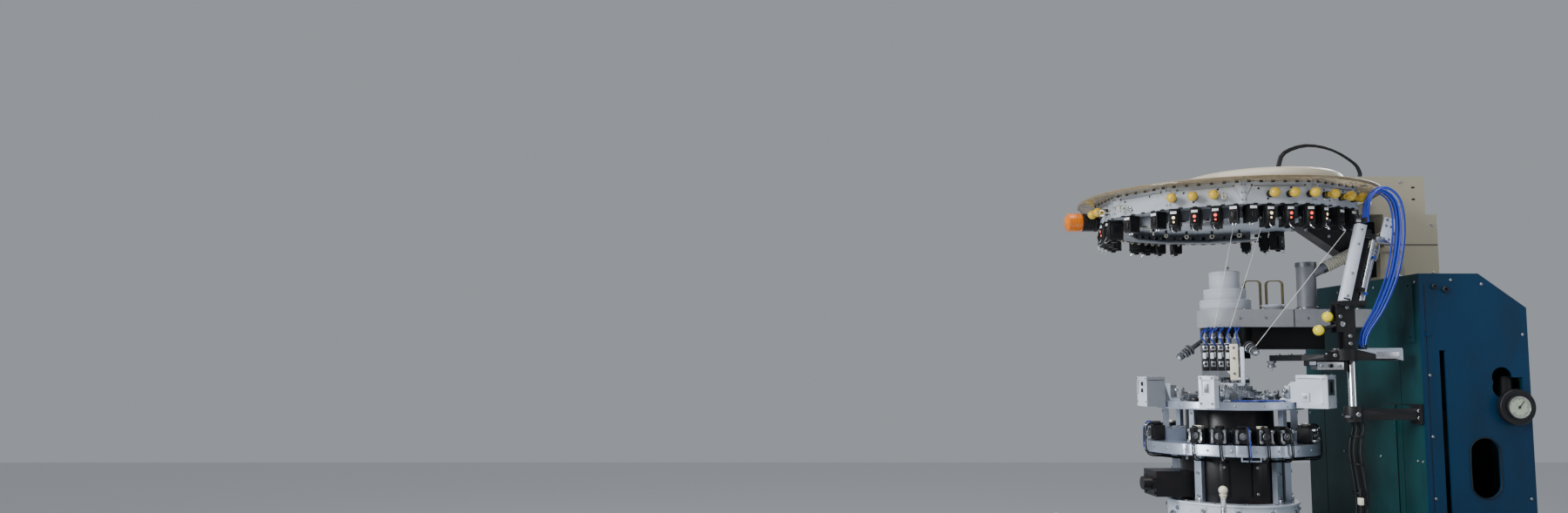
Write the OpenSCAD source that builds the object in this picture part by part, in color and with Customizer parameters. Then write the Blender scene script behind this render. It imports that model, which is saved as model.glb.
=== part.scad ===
// Single-cylinder circular knitting machine for socks, in millimetres.
// Z is up and z = 0 is the floor. The operator stands on the -Y side and looks along +Y.
// The knitting axis is vertical at x = 0, y = axis_y.

/* [Cabinet] */
// Width of the cabinet
cab_w = 664; // [600:4:760]
// Distance from the knitting axis to the cabinet's front
cab_front = 438; // [420:2:480]
// Distance from the knitting axis to the cabinet's back
cab_back = 497; // [480:1:560]
// Height of the deck's top face
deck_z = 1063; // [1000:1:1120]
// Thickness of the deck plate
deck_t = 10; // [6:1:16]
// Thickness of the cabinet's sheet panels
sheet_t = 4; // [3:0.5:6]
// Height of the base plate's underside above the floor
plinth_h = 60; // [50:2:90]
// Thickness of the base plate
base_t = 8; // [6:1:12]
// Run of the sloping control panel, front to back
slope_run = 160; // [130:2:190]
// Rise of the sloping control panel
slope_rise = 157; // [130:1:190]
// Radius of the round hand hole in each side panel
side_hole_r = 41; // [30:1:50]

/* [Feet] */
// Radius of a foot's pad
foot_r = 30; // [22:1:40]
// Radius of a foot's threaded stem
stem_r = 8; // [6:0.5:10]
// Distance between the feet, left to right
foot_gap_x = 520; // [440:4:560]
// Distance between the feet, front to back
foot_gap_y = 780; // [640:4:800]
// Width of each bearer under the base plate
bearer_w = 70; // [50:2:90]

/* [Control panel] */
// Thickness of the panel's frame
frame_t = 16; // [12:1:24]
// Width of the frame's border
frame_border = 20; // [14:1:30]
// Radius of the stop button's mushroom head
estop_r = 20; // [16:0.5:24]
// Travel of the push buttons
button_travel = 4; // [2:0.5:6]

/* [Knitting head] */
// Radius of the needle cylinder
cyl_r = 50; // [44:1:56]
// Bore radius of the needle cylinder
cyl_bore = 40; // [30:1:42]
// Needles round the cylinder
needle_count = 72; // [48:12:96]
// Outer radius of the base ring casting
base_ring_r = 130; // [122:1:140]
// Outer radius of the flared skirt at the deck
skirt_r = 190; // [170:1:200]
// Radius of the dark drum between the rings
drum_r = 104; // [98:1:112]
// Outer radius of the lower motor ring
lower_ring_r = 174; // [168:1:180]
// Outer radius of the upper ring
upper_ring_r = 145; // [138:1:150]
// Side of the square selector motors
motor_side = 32; // [26:1:38]

/* [Dial and air duct] */
// Radius of the cover slab's front end
slab_r = 59; // [54:1:66]
// Thickness of the cover slab
slab_t = 38; // [30:1:44]
// Distance from the knitting axis to the suction tube
tube_y = 180; // [172:1:196]
// Radius of the suction tube
tube_r = 20; // [16:1:24]

/* [Upright and boom] */
// Width of the upright
up_w = 450; // [400:2:500]
// Distance from the knitting axis to the upright's front
up_front = 287; // [270:1:300]
// Height of the upright above the deck
up_h = 558; // [500:1:620]
// Width of the boom
boom_w = 80; // [60:2:120]
// Height of the boom's top above the upright
boom_rise = 229; // [205:1:255]

/* [Yarn disc] */
// Radius of the clear lid
lid_r = 307; // [280:1:330]
// Radius of the dome
dome_r = 170; // [140:1:190]
// Corner radius of the twelve-sided fascia band
fascia_r = 270; // [255:1:280]
// Radius of a tension knob's ball
knob_r = 10; // [8:0.5:12]
// Angle between neighbouring tension knobs
knob_pitch = 8.5; // [8:0.25:10]

/* [Hidden] */
$fn = 64;

// Clearance between pieces that move apart
gap = 0.3;
// Radial clearance of a shaft in its bearing
run = 0.05;
// How far the door's grip and the rear spigot stand out of the cabinet
grip_out = 24;
spigot_out = 62;
// The knitting axis lies off the middle by half the difference of the two reaches
axis_y = (cab_front + grip_out - cab_back - spigot_out) / 2;
half_w = cab_w / 2;
front_y = axis_y - cab_front;
back_y = axis_y + cab_back;
base_top = plinth_h + base_t;
side_top = deck_z - deck_t;
slope_angle = atan(slope_rise / slope_run);
slope_len = sqrt(slope_run * slope_run + slope_rise * slope_rise);
slope_z = deck_z - slope_rise;
slope_back_y = front_y + slope_run;
up_top = deck_z + up_h;
boom_top = up_top + boom_rise;
lid_z = boom_top - 50;

module at_axis() {
    translate([0, axis_y, 0]) children();
}

// A ring about the knitting axis between two heights
module ring(r_out, r_in, z0, z1) {
    translate([0, 0, z0]) difference() {
        cylinder(r = r_out, h = z1 - z0, $fn = 128);
        translate([0, 0, -1]) cylinder(r = r_in, h = z1 - z0 + 2, $fn = 128);
    }
}

// A block between two corners
module block(low, high) {
    translate(low) cube(high - low);
}

// Places children on the slope: local y runs up the slope and local z stands out of it
module on_slope() {
    translate([0, front_y, slope_z]) rotate([slope_angle, 0, 0]) children();
}

// A straight rod between two points
module rod(a, b, r, sides = 24) {
    v = b - a;
    tilt = acos(v[2] / norm(v));
    turn = atan2(v[1], v[0]);
    translate(a) rotate([0, tilt, turn]) cylinder(r = r, h = norm(v), $fn = sides);
}

// A tube of eight sides swept along a list of points
module swept(points, r) {
    last = len(points) - 1;
    side_count = 8;
    corners = [for (i = [0:last]) for (k = [0:side_count - 1]) ring_point(points, i, k, r, side_count)];
    sides = [
        for (i = [0:last - 1]) for (k = [0:side_count - 1]) [
            i * side_count + k,
            (i + 1) * side_count + k,
            (i + 1) * side_count + (k + 1) % side_count,
            i * side_count + (k + 1) % side_count
        ]
    ];
    start = [for (k = [0:side_count - 1]) k];
    end = [for (k = [side_count - 1:-1:0]) last * side_count + k];
    polyhedron(points = corners, faces = concat(sides, [start, end]));
}

// One corner of a swept tube, in a plane square to the route
function ring_point(points, i, k, r, n) =
    let (last = len(points) - 1)
    let (t = unit(points[min(i + 1, last)] - points[max(i - 1, 0)]))
    let (side = unit(cross(t, sweep_up(points))))
    let (up = cross(side, t))
    points[i] + r * (cos(k * 360 / n) * side + sin(k * 360 / n) * up);

function unit(v) = v / norm(v);

// A direction that the route never runs along: square to the plane of its ends and middle
function sweep_up(points) =
    let (last = len(points) - 1)
    let (a = points[floor(last / 2)] - points[0])
    let (b = points[last] - points[0])
    let (c = cross(a, b))
    norm(c) > 1 ? unit(c) : abs(unit(b)[0]) < 0.9 ? [1, 0, 0] : [0, 0, 1];

// Points of a smooth curve through a route's chosen points
function smooth(p, steps) = concat(
    [for (i = [0:len(p) - 2]) for (s = [0:steps - 1]) between(p, i, s / steps)],
    [p[len(p) - 1]]
);

function between(p, i, s) =
    let (a = p[max(i - 1, 0)], b = p[i], c = p[i + 1], d = p[min(i + 2, len(p) - 1)])
    0.5 * (2 * b + (c - a) * s + (2 * a - 5 * b + 4 * c - d) * s * s + (3 * b - a - 3 * c + d) * s * s * s);

// CABINET

foot_pad_t = 12;
nut_t = 8;
bearer_h = plinth_h - foot_pad_t - nut_t;
door_t = 20;
door_gap = 3;
door_bottom = base_top + 12;
hinge_r = 4;
flange_w = 24;
feet_y = (front_y + back_y) / 2;
foot_places = [for (x = [-1, 1]) for (y = [-1, 1]) [x * foot_gap_x / 2, feet_y + y * foot_gap_y / 2]];

// Steel plate on two bearers, with a threaded way for each foot's stem
module base_frame() {
    color("#23272b") difference() {
        union() {
            block([-half_w + sheet_t, front_y + 44, plinth_h], [half_w - sheet_t, back_y - sheet_t, base_top]);
            for (x = [-1, 1])
                block(
                    [x * foot_gap_x / 2 - bearer_w / 2, front_y + 44, plinth_h - bearer_h],
                    [x * foot_gap_x / 2 + bearer_w / 2, back_y - sheet_t, plinth_h]
                );
        }
        for (p = foot_places)
            translate([p[0], p[1], 0]) cylinder(r = stem_r, h = base_top + 1);
    }
}

// Four levelling feet: pad with an anchor hole each, stem and lock nut
module levelling_feet() {
    color("#3a3d40") for (p = foot_places)
        translate([p[0], p[1], 0]) {
            difference() {
                union() {
                    cylinder(r = foot_r, h = foot_pad_t / 2);
                    translate([0, 0, foot_pad_t / 2])
                        cylinder(r1 = foot_r, r2 = stem_r * 1.6, h = foot_pad_t / 2);
                }
                translate([foot_r * 0.72, 0, -1]) cylinder(r = 3.3, h = foot_pad_t + 2);
            }
            translate([0, 0, foot_pad_t]) cylinder(r = stem_r * 1.8, h = nut_t, $fn = 6);
            translate([0, 0, foot_pad_t]) cylinder(r = stem_r - run, h = base_top - foot_pad_t + 4);
        }
}

// Outline of a cabinet side, as y and z
function side_outline() = [
    [front_y, base_top],
    [front_y, slope_z],
    [slope_back_y, side_top],
    [back_y, side_top],
    [back_y, plinth_h],
    [front_y + 44, plinth_h],
    [front_y + 44, base_top]
];

// A side sheet with its pressed field, hand hole, seam lines and folded front flange
module side_panel(side) {
    seam_y = [axis_y - 245, axis_y - 127];
    x_out = side * half_w;
    field_low = [axis_y - 70, 560];
    field_high = [axis_y + 236, deck_z - 68];
    color("#1f6f78") difference() {
        union() {
            translate([side > 0 ? half_w - sheet_t : -half_w, 0, 0])
                rotate([90, 0, 90]) linear_extrude(height = sheet_t) polygon(side_outline());
            block(
                [min(side * (half_w - flange_w), x_out), front_y, base_top],
                [max(side * (half_w - flange_w), x_out), front_y + sheet_t, slope_z - 4]
            );
        }
        translate([x_out - 20, axis_y + 182, deck_z - 128]) rotate([0, 90, 0]) cylinder(r = side_hole_r, h = 40);
        translate([x_out - side * sheet_t / 2, 0, 0]) mirror([side > 0 ? 0 : 1, 0, 0])
            block([0, field_low[0], field_low[1]], [sheet_t, field_high[0], field_high[1]]);
        for (y = seam_y)
            translate([x_out - 0.8, y, base_top]) cube([1.6, 2, side_top]);
        translate([x_out - 20, axis_y - 176, deck_z - 78]) rotate([0, 90, 0]) cylinder(r = 4, h = 40);
    }
}

module side_panel_right() {
    side_panel(1);
    color("#1f6f78") for (z = knuckle_places) hinge_pin(z);
}

module side_panel_left() {
    side_panel(-1);
}

drain_z = 300;
vent_w = 130;

// Rear sheet with the hole that the suction spigot passes
module rear_panel() {
    color("#1b5f68") difference() {
        block([-half_w + sheet_t, back_y - sheet_t, base_top], [half_w - sheet_t, back_y, side_top]);
        translate([0, back_y - sheet_t - 1, drain_z])
            rotate([-90, 0, 0]) cylinder(r = duct_r + gap, h = sheet_t + 2, $fn = 96);
        for (i = [0:7])
            block([40, back_y - sheet_t - 1, 560 + i * 26], [40 + vent_w, back_y + 1, 570 + i * 26]);
    }
}

// Deck plate with the ways of the needle cylinder's sock duct, the drive belt and the head's cables
module deck_plate() {
    color("#17494f") difference() {
        block([-half_w, slope_back_y + gap, deck_z - deck_t], [half_w, back_y, deck_z]);
        at_axis() translate([0, 0, deck_z - deck_t - 1]) cylinder(r = cyl_bore + 16, h = deck_t + 2);
        at_axis() translate([205, 175, deck_z - deck_t - 1]) cylinder(r = 22, h = deck_t + 2);
    }
}

door_low_x = -half_w + flange_w + door_gap;
door_high_x = half_w - flange_w - door_gap;
door_top = slope_z - 6;
knuckle_h = 40;
knuckle_places = [door_bottom + 60, door_top - 100];
hinge_x = door_high_x - 8;
hinge_y = front_y - hinge_r - 1;

// Folded front door with a grip and two hinge knuckles on its right
module front_door() {
    color("#d9dfd2") difference() {
        union() {
            block([door_low_x, front_y, door_bottom], [door_high_x, front_y + door_t, door_top]);
            for (z = knuckle_places) {
                translate([hinge_x, hinge_y, z]) cylinder(r = hinge_r + 2, h = knuckle_h, $fn = 32);
                block([hinge_x - 6, hinge_y, z], [hinge_x + 4, front_y + 1, z + knuckle_h]);
            }
        }
        block(
            [door_low_x + 3, front_y + 3, door_bottom + 3],
            [door_high_x - 3, front_y + door_t + 1, door_top - 3]
        );
        for (z = knuckle_places)
            translate([hinge_x, hinge_y, z - 1]) cylinder(r = hinge_r + run, h = knuckle_h + 2, $fn = 32);
    }
    color("#2a2d30") translate([door_low_x + 40, front_y, door_top - 170]) {
        for (z = [0, 88]) translate([0, -grip_out + 8, z]) cube([12, grip_out - 8, 12]);
        translate([0, -grip_out, 0]) cube([12, 9, 100]);
    }
}

// A hinge pin with the two leaves that carry it on the right side panel's flange
module hinge_pin(z) {
    leaf_h = 12;
    leaf_r = hinge_r + 0.7;
    translate([hinge_x, hinge_y, z - leaf_h]) cylinder(r = hinge_r, h = knuckle_h + 2 * leaf_h, $fn = 32);
    for (low = [z - leaf_h, z + knuckle_h + gap]) {
        translate([hinge_x, hinge_y, low]) cylinder(r = leaf_r, h = leaf_h - gap, $fn = 32);
        block([hinge_x, hinge_y - leaf_r, low], [hinge_x + 24, hinge_y + leaf_r, low + leaf_h - gap]);
        block([hinge_x + 13, hinge_y, low], [hinge_x + 24, front_y + 1, low + leaf_h - gap]);
    }
}

// CONTROL PANEL

face_inset = 5;
face_t = 3;
panel_skirt = 34;
controls_x = -half_w + 52;
estop_y = slope_len - 60;
stop_y = slope_len - 104;
start_y = slope_len - 138;
key_y = slope_len - 172;
face_low = [-half_w + frame_border, frame_border];
face_high = [half_w - frame_border, slope_len - frame_border];
display_low = [-half_w + 110, slope_len - 128];
display_size = [104, 74];
well = 12;

// Raised tray with a stepped ridge along its upper edge
module panel_frame() {
    color("#c4d6da") difference() {
        union() {
            on_slope() {
                block([-half_w, 0, 0], [half_w, slope_len, frame_t]);
                block([-half_w + 3, slope_len - 16, 0], [half_w - 3, slope_len, frame_t + 4]);
                block([-half_w + 6, slope_len - 9, 0], [half_w - 6, slope_len, frame_t + 8]);
            }
        }
        on_slope() {
            translate([face_low[0], face_low[1], frame_t - face_inset])
                cube([face_high[0] - face_low[0], face_high[1] - face_low[1], face_inset + 1]);
            translate([controls_x, estop_y, -1]) cylinder(r = 9, h = frame_t + 2);
            for (y = [stop_y, start_y, key_y]) translate([controls_x, y, -1]) cylinder(r = 7, h = frame_t + 2);
        }
    }
}

face_z = frame_t - face_inset;

// White face sheet with its key field, the sunk display window and the holes for the controls
module panel_face() {
    color("#f1f1ec") on_slope() difference() {
        union() {
            block(
                [face_low[0] + gap, face_low[1] + gap, face_z],
                [face_high[0] - gap, face_high[1] - gap, face_z + face_t]
            );
            for (i = [0:2]) for (j = [0:3])
                translate([70 + j * 22, slope_len - 128 + i * 22, face_z + face_t]) cube([18, 18, 1.5]);
        }
        translate([display_low[0], display_low[1], face_z + 1]) cube([display_size[0], display_size[1], face_t]);
        translate([controls_x, estop_y, 0]) cylinder(r = 9, h = frame_t + 2);
        for (y = [stop_y, start_y, key_y]) translate([controls_x, y, 0]) cylinder(r = 7, h = frame_t + 2);
    }
}

face_top = face_z + face_t;
collar_t = 5;

// Yellow base disc and dark collar of the stop mushroom
module estop_base() {
    color("#e8c81e") on_slope() translate([controls_x, estop_y, face_top]) difference() {
        union() {
            cylinder(r = estop_r + 9, h = collar_t);
            cylinder(r = 13, h = collar_t + 8);
        }
        translate([0, 0, -1]) cylinder(r = 9, h = collar_t + 12);
    }
}

// Red mushroom head on its stem
module estop_button() {
    color("#c42a22") on_slope() translate([controls_x, estop_y, face_top + collar_t + 8 + button_travel + 1]) {
        cylinder(r1 = 14, r2 = estop_r, h = 12);
        translate([0, 0, 12]) cylinder(r1 = estop_r, r2 = estop_r - 4, h = 6);
        translate([0, 0, -24]) cylinder(r = 9 - run, h = 25);
    }
}

// A push button: cap above the face and stem in its hole
module push_button(y) {
    on_slope() translate([controls_x, y, face_top]) {
        translate([0, 0, button_travel + 1]) cylinder(r = 11, h = 7);
        translate([0, 0, -well]) cylinder(r = 7 - run, h = well + button_travel + 2);
    }
}

module stop_button() {
    color("#a02020") push_button(stop_y);
}

module start_button() {
    color("#e0c020") push_button(start_y);
}

// Ringed key switch with the key standing in it
module key_switch() {
    color("#4a5a50") on_slope() translate([controls_x, key_y, face_top]) {
        difference() {
            translate([0, 0, gap]) cylinder(r = 12, h = 6);
            translate([0, 0, 4]) cylinder(r = 9, h = 6);
        }
        translate([0, 0, -well]) cylinder(r = 7 - run, h = well + 1);
        translate([-1.5, -8, 3]) cube([3, 16, 18]);
    }
}

// KNITTING HEAD

base_ring_low = deck_z + 28;
base_ring_top = deck_z + 91;
drum_top = deck_z + 192;
lower_ring_top = deck_z + 215;
upper_ring_low = deck_z + 285;
upper_ring_top = deck_z + 301;
bore_way = cyl_bore + 10;

// Flared skirt with ribs on the deck, with the cylinder's bearing bore and the lever's fork
module base_skirt() {
    rib_t = 5;
    skirt_h = base_ring_low - deck_z;
    color("#b9c0c6") at_axis() {
        difference() {
            union() {
                translate([0, 0, deck_z]) rotate_extrude($fn = 128) polygon([
                    [0, 0],
                    [skirt_r, 0],
                    [skirt_r, 4],
                    [base_ring_r + 14, 10],
                    [base_ring_r - 2, skirt_h],
                    [0, skirt_h]
                ]);
                for (i = [0:15]) rotate([0, 0, i * 22.5])
                    translate([base_ring_r - 8, rib_t / 2, deck_z]) rotate([90, 0, 0]) linear_extrude(height = rib_t)
                        polygon([
                            [0, 2], [skirt_r - base_ring_r + 2, 2], [skirt_r - base_ring_r + 2, 8],
                            [6, skirt_h], [0, skirt_h]
                        ]);
                clamp_fork();
            }
            translate([0, 0, deck_z - 1]) cylinder(r = gear_r + run, h = 40, $fn = 128);
            translate([0, 0, cyl_low - gap]) cylinder(r = bore_way + 6, h = 40, $fn = 128);
        }
    }
}

// White base ring casting with lips, lugs and its ring of screws
module base_ring() {
    color("#dfe3e6") at_axis() {
        difference() {
            union() {
                ring(base_ring_r, bore_way + 6, base_ring_low, base_ring_top - 4);
                ring(base_ring_r + 3, bore_way + 6, base_ring_top - 4, base_ring_top);
                ring(base_ring_r + 3, bore_way + 6, base_ring_low, base_ring_low + 5);
            }
            for (i = [0:11]) rotate([0, 0, i * 30 + 12])
                translate([base_ring_r - 3, 0, base_ring_top - 16]) rotate([0, 90, 0]) cylinder(r = 4, h = 10, $fn = 24);
        }
        for (i = [0:11]) rotate([0, 0, i * 30 + 12])
            translate([base_ring_r - 3, 0, base_ring_top - 16]) rotate([0, 90, 0]) cylinder(r = 3.2, h = 4.5, $fn = 6);
    }
}

lever_x = 150;
lever_y = -82;
lever_z = deck_z + 19;
lever_angle = atan2(lever_y, lever_x);
lever_r = norm([lever_x, lever_y]);

// Fork on the skirt that carries the clamp lever
module clamp_fork() {
    rotate([0, 0, lever_angle]) translate([lever_r, 0, deck_z]) difference() {
        for (s = [-1, 1]) translate([-8, s * 9.5 - 2.5, 0]) cube([16, 5, lever_z - deck_z + 9]);
        translate([0, -20, lever_z - deck_z]) rotate([-90, 0, 0]) cylinder(r = 3 + run, h = 40, $fn = 32);
    }
}

// Clamp lever with its pin and bright knob
module clamp_lever() {
    color("#d8cfae") at_axis() rotate([0, 0, lever_angle]) translate([lever_r, 0, 0]) {
        translate([0, 0, lever_z]) rotate([90, 0, 0]) translate([0, 0, -12]) cylinder(r = 3, h = 24, $fn = 32);
        translate([0, 0, lever_z]) rotate([90, 0, 0]) translate([0, 0, -6]) cylinder(r = 8, h = 12, $fn = 32);
        translate([0, 0, lever_z]) cylinder(r = 5, h = 94, $fn = 32);
        translate([0, 0, lever_z + 90]) cylinder(r1 = 5, r2 = 8, h = 8, $fn = 32);
        translate([0, 0, lever_z + 106]) sphere(r = 9, $fn = 32);
    }
}

// Dark drum between the base ring and the motor ring, with its oil pipe flange and motor block
module drum_housing() {
    color("#15171b") at_axis() {
        difference() {
            union() {
                ring(drum_r, cyl_r + 14, base_ring_top, drum_top);
                ring(drum_r - 16, cyl_r + 14, drum_top, upper_ring_low);
                block([-30, -178, base_ring_top + 8], [44, -drum_r + 12, base_ring_top + 62]);
            }
            translate([0, 0, deck_z]) cylinder(r = cyl_r + 14, h = 400, $fn = 128);
        }
        for (z = [base_ring_top + 16, base_ring_top + 46]) for (x = [-20, 34])
            translate([x, -181, z]) rotate([-90, 0, 0]) cylinder(r = 4, h = 4, $fn = 24);
    }
    color("#8e9296") at_axis() {
        translate([8, -196, base_ring_top + 34]) rotate([-90, 0, 0]) cylinder(r = 14, h = 18);
    }
}

post_angles = [-150, -115, -56, 28, 75, 125, 165];

// Grey posts under and over the motor ring, and the aluminium blocks that carry the motors
module support_posts() {
    color("#8d9297") at_axis() {
        for (a = post_angles) rotate([0, 0, a]) {
            block([drum_r + 2, -8, base_ring_top], [drum_r + 14, 8, lower_ring_top - 23]);
            block([upper_ring_r - 22, -5.5, lower_ring_top], [upper_ring_r - 10, 5.5, upper_ring_low]);
        }
        for (a = motor_angles) rotate([0, 0, a])
            block([drum_r - 8, -13, lower_ring_top], [lower_ring_r - 34, 13, lower_ring_top + 26]);
    }
}

// Aluminium ring that carries the selector motors, with its wire handle
module lower_ring() {
    ring_handle();
    color("#c6cbd1") at_axis() difference() {
        union() {
            ring(lower_ring_r, drum_r + gap, lower_ring_top - 23, lower_ring_top);
            ring(lower_ring_r + 2, lower_ring_r - 6, lower_ring_top - 23, lower_ring_top - 19);
        }
        for (a = [-52, -20, 10, 52]) rotate([0, 0, a])
            translate([lower_ring_r - 0.8, -0.8, lower_ring_top - 30]) cube([6, 1.6, 40]);
    }
}

// Bent wire handle under the motor ring
module ring_handle() {
    handle_w = 36;
    color("#c9ccd0") at_axis() rotate([0, 0, -10]) translate([lower_ring_r - 6, 0, lower_ring_top - 23]) {
        for (s = [-1, 1]) translate([0, s * handle_w / 2, -8]) cylinder(r = 1.8, h = 8, $fn = 16);
        for (s = [-1, 1]) translate([0, s * handle_w / 2, -8]) sphere(r = 1.8, $fn = 16);
        translate([0, -handle_w / 2, -8]) rotate([-90, 0, 0]) cylinder(r = 1.8, h = handle_w, $fn = 16);
    }
}

motor_angles = [-150, -122, -95, -46, -30.5, -15, 0, 15, 48, 75, 105, 140];

// Square stepper motors on the ring, each with four end screws and a shaft into the drum
module selector_motors() {
    half = motor_side / 2;
    color("#1a1b1e") at_axis() for (a = motor_angles)
        rotate([0, 0, a]) translate([lower_ring_r - 34, 0, lower_ring_top + half + 2]) {
            translate([0, -half, -half]) cube([24, motor_side, motor_side - 1]);
            translate([24, -half + 2, -half + 2]) cube([6, motor_side - 4, motor_side - 5]);
            for (y = [-1, 1]) for (z = [-1, 1])
                translate([29, y * (half - 4.5), z * (half - 5) - 0.5])
                    rotate([0, 90, 0]) cylinder(r = 3, h = 4, $fn = 16);
            translate([10, 0, -half - 2]) cylinder(r = 4, h = 3, $fn = 16);
        }
}

// Upper aluminium ring on the posts
module upper_ring() {
    color("#cdd2d8") at_axis() {
        difference() {
            union() {
                ring(upper_ring_r, cyl_r + 20, upper_ring_low, upper_ring_top);
                ring(upper_ring_r + 2, upper_ring_r - 5, upper_ring_low, upper_ring_low + 4);
            }
            for (i = [0:7]) rotate([0, 0, i * 45 + 20])
                translate([upper_ring_r - 26, 0, upper_ring_top - 3]) cylinder(r = 5, h = 5, $fn = 24);
        }
    }
}

box_angles = [-36, -90, 46, 150];
box_wide = [30, 60, 57, 50];
box_deep = [38, 40, 60, 50];
box_high = [66, 64, 68, 62];

// Boxed actuators beside the upper ring, each on its clamp plate and with a guide rod towards the needles
module actuator_boxes() {
    x0 = upper_ring_r + 3;
    low = upper_ring_low + 4;
    color("#e4e6e8") at_axis() for (i = [0:3]) rotate([0, 0, box_angles[i]]) {
        w = box_wide[i];
        far = x0 + box_deep[i];
        top = low + box_high[i];
        difference() {
            union() {
                block([x0, -w / 2, low], [far, w / 2, top]);
                block([x0 - 12, -w / 2 + 3, upper_ring_top], [x0, w / 2 - 3, top - 14]);
                block([x0 - 34, -w / 2 + 8, upper_ring_top], [x0 - 12, w / 2 - 8, upper_ring_top + 8]);
            }
            block([far - 2, -w / 2 + 6, low + 26], [far + 1, w / 2 - 6, top - 8]);
        }
        translate([x0 - 30, 0, upper_ring_top + 24]) rotate([0, 90, 0]) cylinder(r = 4, h = 19, $fn = 24);
        for (z = [low + 10, top - 10])
            translate([far - 12, -w / 2 - 1.5, z]) rotate([-90, 0, 0]) cylinder(r = 3, h = 3, $fn = 16);
    }
}

// NEEDLE CYLINDER AND DIAL

cyl_low = deck_z + 20;
cyl_top = upper_ring_top + 26;
gear_low = deck_z - 40;
needle_w = 1.4;

// Slotted needle cylinder with its needles, open down the middle for the finished sock
module needle_cylinder() {
    color("#b4b8bc") at_axis() {
        difference() {
            union() {
                ring(cyl_r, cyl_bore, cyl_low, cyl_top);
                ring(cyl_r + 5, cyl_bore, cyl_low, cyl_low + 16);
            }
            for (i = [0:needle_count - 1]) rotate([0, 0, i * 360 / needle_count])
                block([cyl_r - 3, -needle_w, upper_ring_low - 60], [cyl_r + 1, needle_w, cyl_top + 1]);
        }
        for (i = [0:needle_count - 1]) rotate([0, 0, i * 360 / needle_count])
            block([cyl_r - 3, -needle_w / 2, upper_ring_low - 50], [cyl_r - 1, needle_w / 2, cyl_top + 6]);
    }
}

gear_teeth = 36;
gear_r = cyl_r - 2;

// Toothed pulley and tube under the cylinder, which the belt turns
module cylinder_gear() {
    color("#6e7276") at_axis() difference() {
        union() {
            ring(gear_r, cyl_bore, gear_low - 40, cyl_low);
            ring(gear_r + 6, cyl_bore, gear_low - 40, gear_low - 36);
            ring(gear_r + 6, cyl_bore, gear_low - 4, gear_low);
        }
        for (i = [0:gear_teeth - 1]) rotate([0, 0, i * 360 / gear_teeth])
            block([gear_r - 2, -1.6, gear_low - 35], [gear_r + 1, 1.6, gear_low - 5]);
    }
}

cam_low = upper_ring_low;
cam_top = upper_ring_top + 14;
cam_in = cyl_r + 1;

// Cam box: segments round the needle cylinder inside the upper ring
module cam_box() {
    color("#9ba0a6") at_axis() difference() {
        union() {
            ring(cyl_r + 19.7, cam_in, cam_low, cam_top);
            ring(cyl_r + 26, cam_in, upper_ring_top, cam_top - 4);
        }
        for (i = [0:5]) rotate([0, 0, i * 60 + 30])
            block([cyl_r + 10, -1, upper_ring_top + 1], [cyl_r + 40, 1, cam_top + 1]);
    }
}

// Sinker cap: flat ring above the cams with its sinker slots
module sinker_cap() {
    color("#b9bdc2") at_axis() difference() {
        union() {
            ring(cyl_r + 17, cam_in, cam_top, cam_top + 7);
            ring(cyl_r + 7, cam_in, cam_top + 7, cam_top + 10);
        }
        for (i = [0:23]) rotate([0, 0, i * 15])
            block([cyl_r + 8, -1, cam_top + 5], [cyl_r + 18, 1, cam_top + 8]);
    }
}

dial_z = cyl_top + 12;
slab_low = deck_z + 459;
slab_top = slab_low + slab_t;
housing_low = deck_z + 382;
dial_r = cyl_r - 6;
dial_shaft_r = 9;

// Dial disc with its radial slots and the shaft up to the cover slab
module dial() {
    color("#b2b6ba") at_axis() {
        difference() {
            union() {
                translate([0, 0, dial_z]) cylinder(r = dial_r, h = 8, $fn = 96);
                translate([0, 0, dial_z + 8]) cylinder(r1 = 26, r2 = 18, h = 10);
                translate([0, 0, dial_z]) cylinder(r = dial_shaft_r, h = slab_low + 12 - dial_z);
                translate([0, 0, slab_low + gap - 30]) cylinder(r = 24, h = 20);
            }
            for (i = [0:35]) rotate([0, 0, i * 10])
                block([dial_r - 10, -0.7, dial_z + 5], [dial_r + 1, 0.7, dial_z + 9]);
        }
    }
}

// Dark drum that hangs under the cover slab round the dial's shaft
module dial_housing() {
    color("#1b1d22") at_axis() difference() {
        union() {
            ring(slab_r - 6, 26, housing_low + 24, slab_low);
            ring(slab_r - 12, dial_shaft_r + run, housing_low + 10, housing_low + 24);
            block([-34, slab_r - 20, housing_low + 30], [34, up_front - 90, slab_low]);
        }
        translate([0, 0, housing_low + 24]) cylinder(r = 26, h = 60);
    }
}

slab_back = up_front;
neck_y = 332;
tube_top = slab_top + 106;

// Cover slab over the dial's drive, with its round front and the lugs on top
module belt_cover() {
    color("#c3c6c8") at_axis() difference() {
        union() {
            translate([0, 0, slab_low]) cylinder(r = slab_r, h = slab_t, $fn = 128);
            block([-slab_r, 0, slab_low], [slab_r, slab_back, slab_top]);
            translate([34, 88, slab_top]) cylinder(r1 = 20, r2 = 24, h = 4);
        }
        translate([0, 0, slab_low - 1]) cylinder(r = dial_shaft_r + run, h = 14);
        for (s = [-1, 1]) translate([s * (slab_r - 12), slab_back - 40, slab_top - 5]) cylinder(r = 5, h = 6, $fn = 24);
    }
}

// Three stepped caps on the cover slab
module cap_stack() {
    color("#d2d5d6") at_axis() {
        translate([0, 0, slab_top]) cylinder(r = slab_r - 7, h = 22, $fn = 128);
        translate([0, 0, slab_top + 22]) cylinder(r1 = slab_r - 7, r2 = slab_r - 8, h = 1, $fn = 128);
        translate([0, 0, slab_top + 23]) cylinder(r = slab_r - 15.5, h = 23, $fn = 128);
        translate([0, 0, slab_top + 46]) cylinder(r = slab_r - 27.5, h = 37, $fn = 128);
        translate([0, 0, slab_top + 83]) cylinder(r1 = slab_r - 27.5, r2 = slab_r - 29, h = 2, $fn = 128);
    }
}

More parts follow.
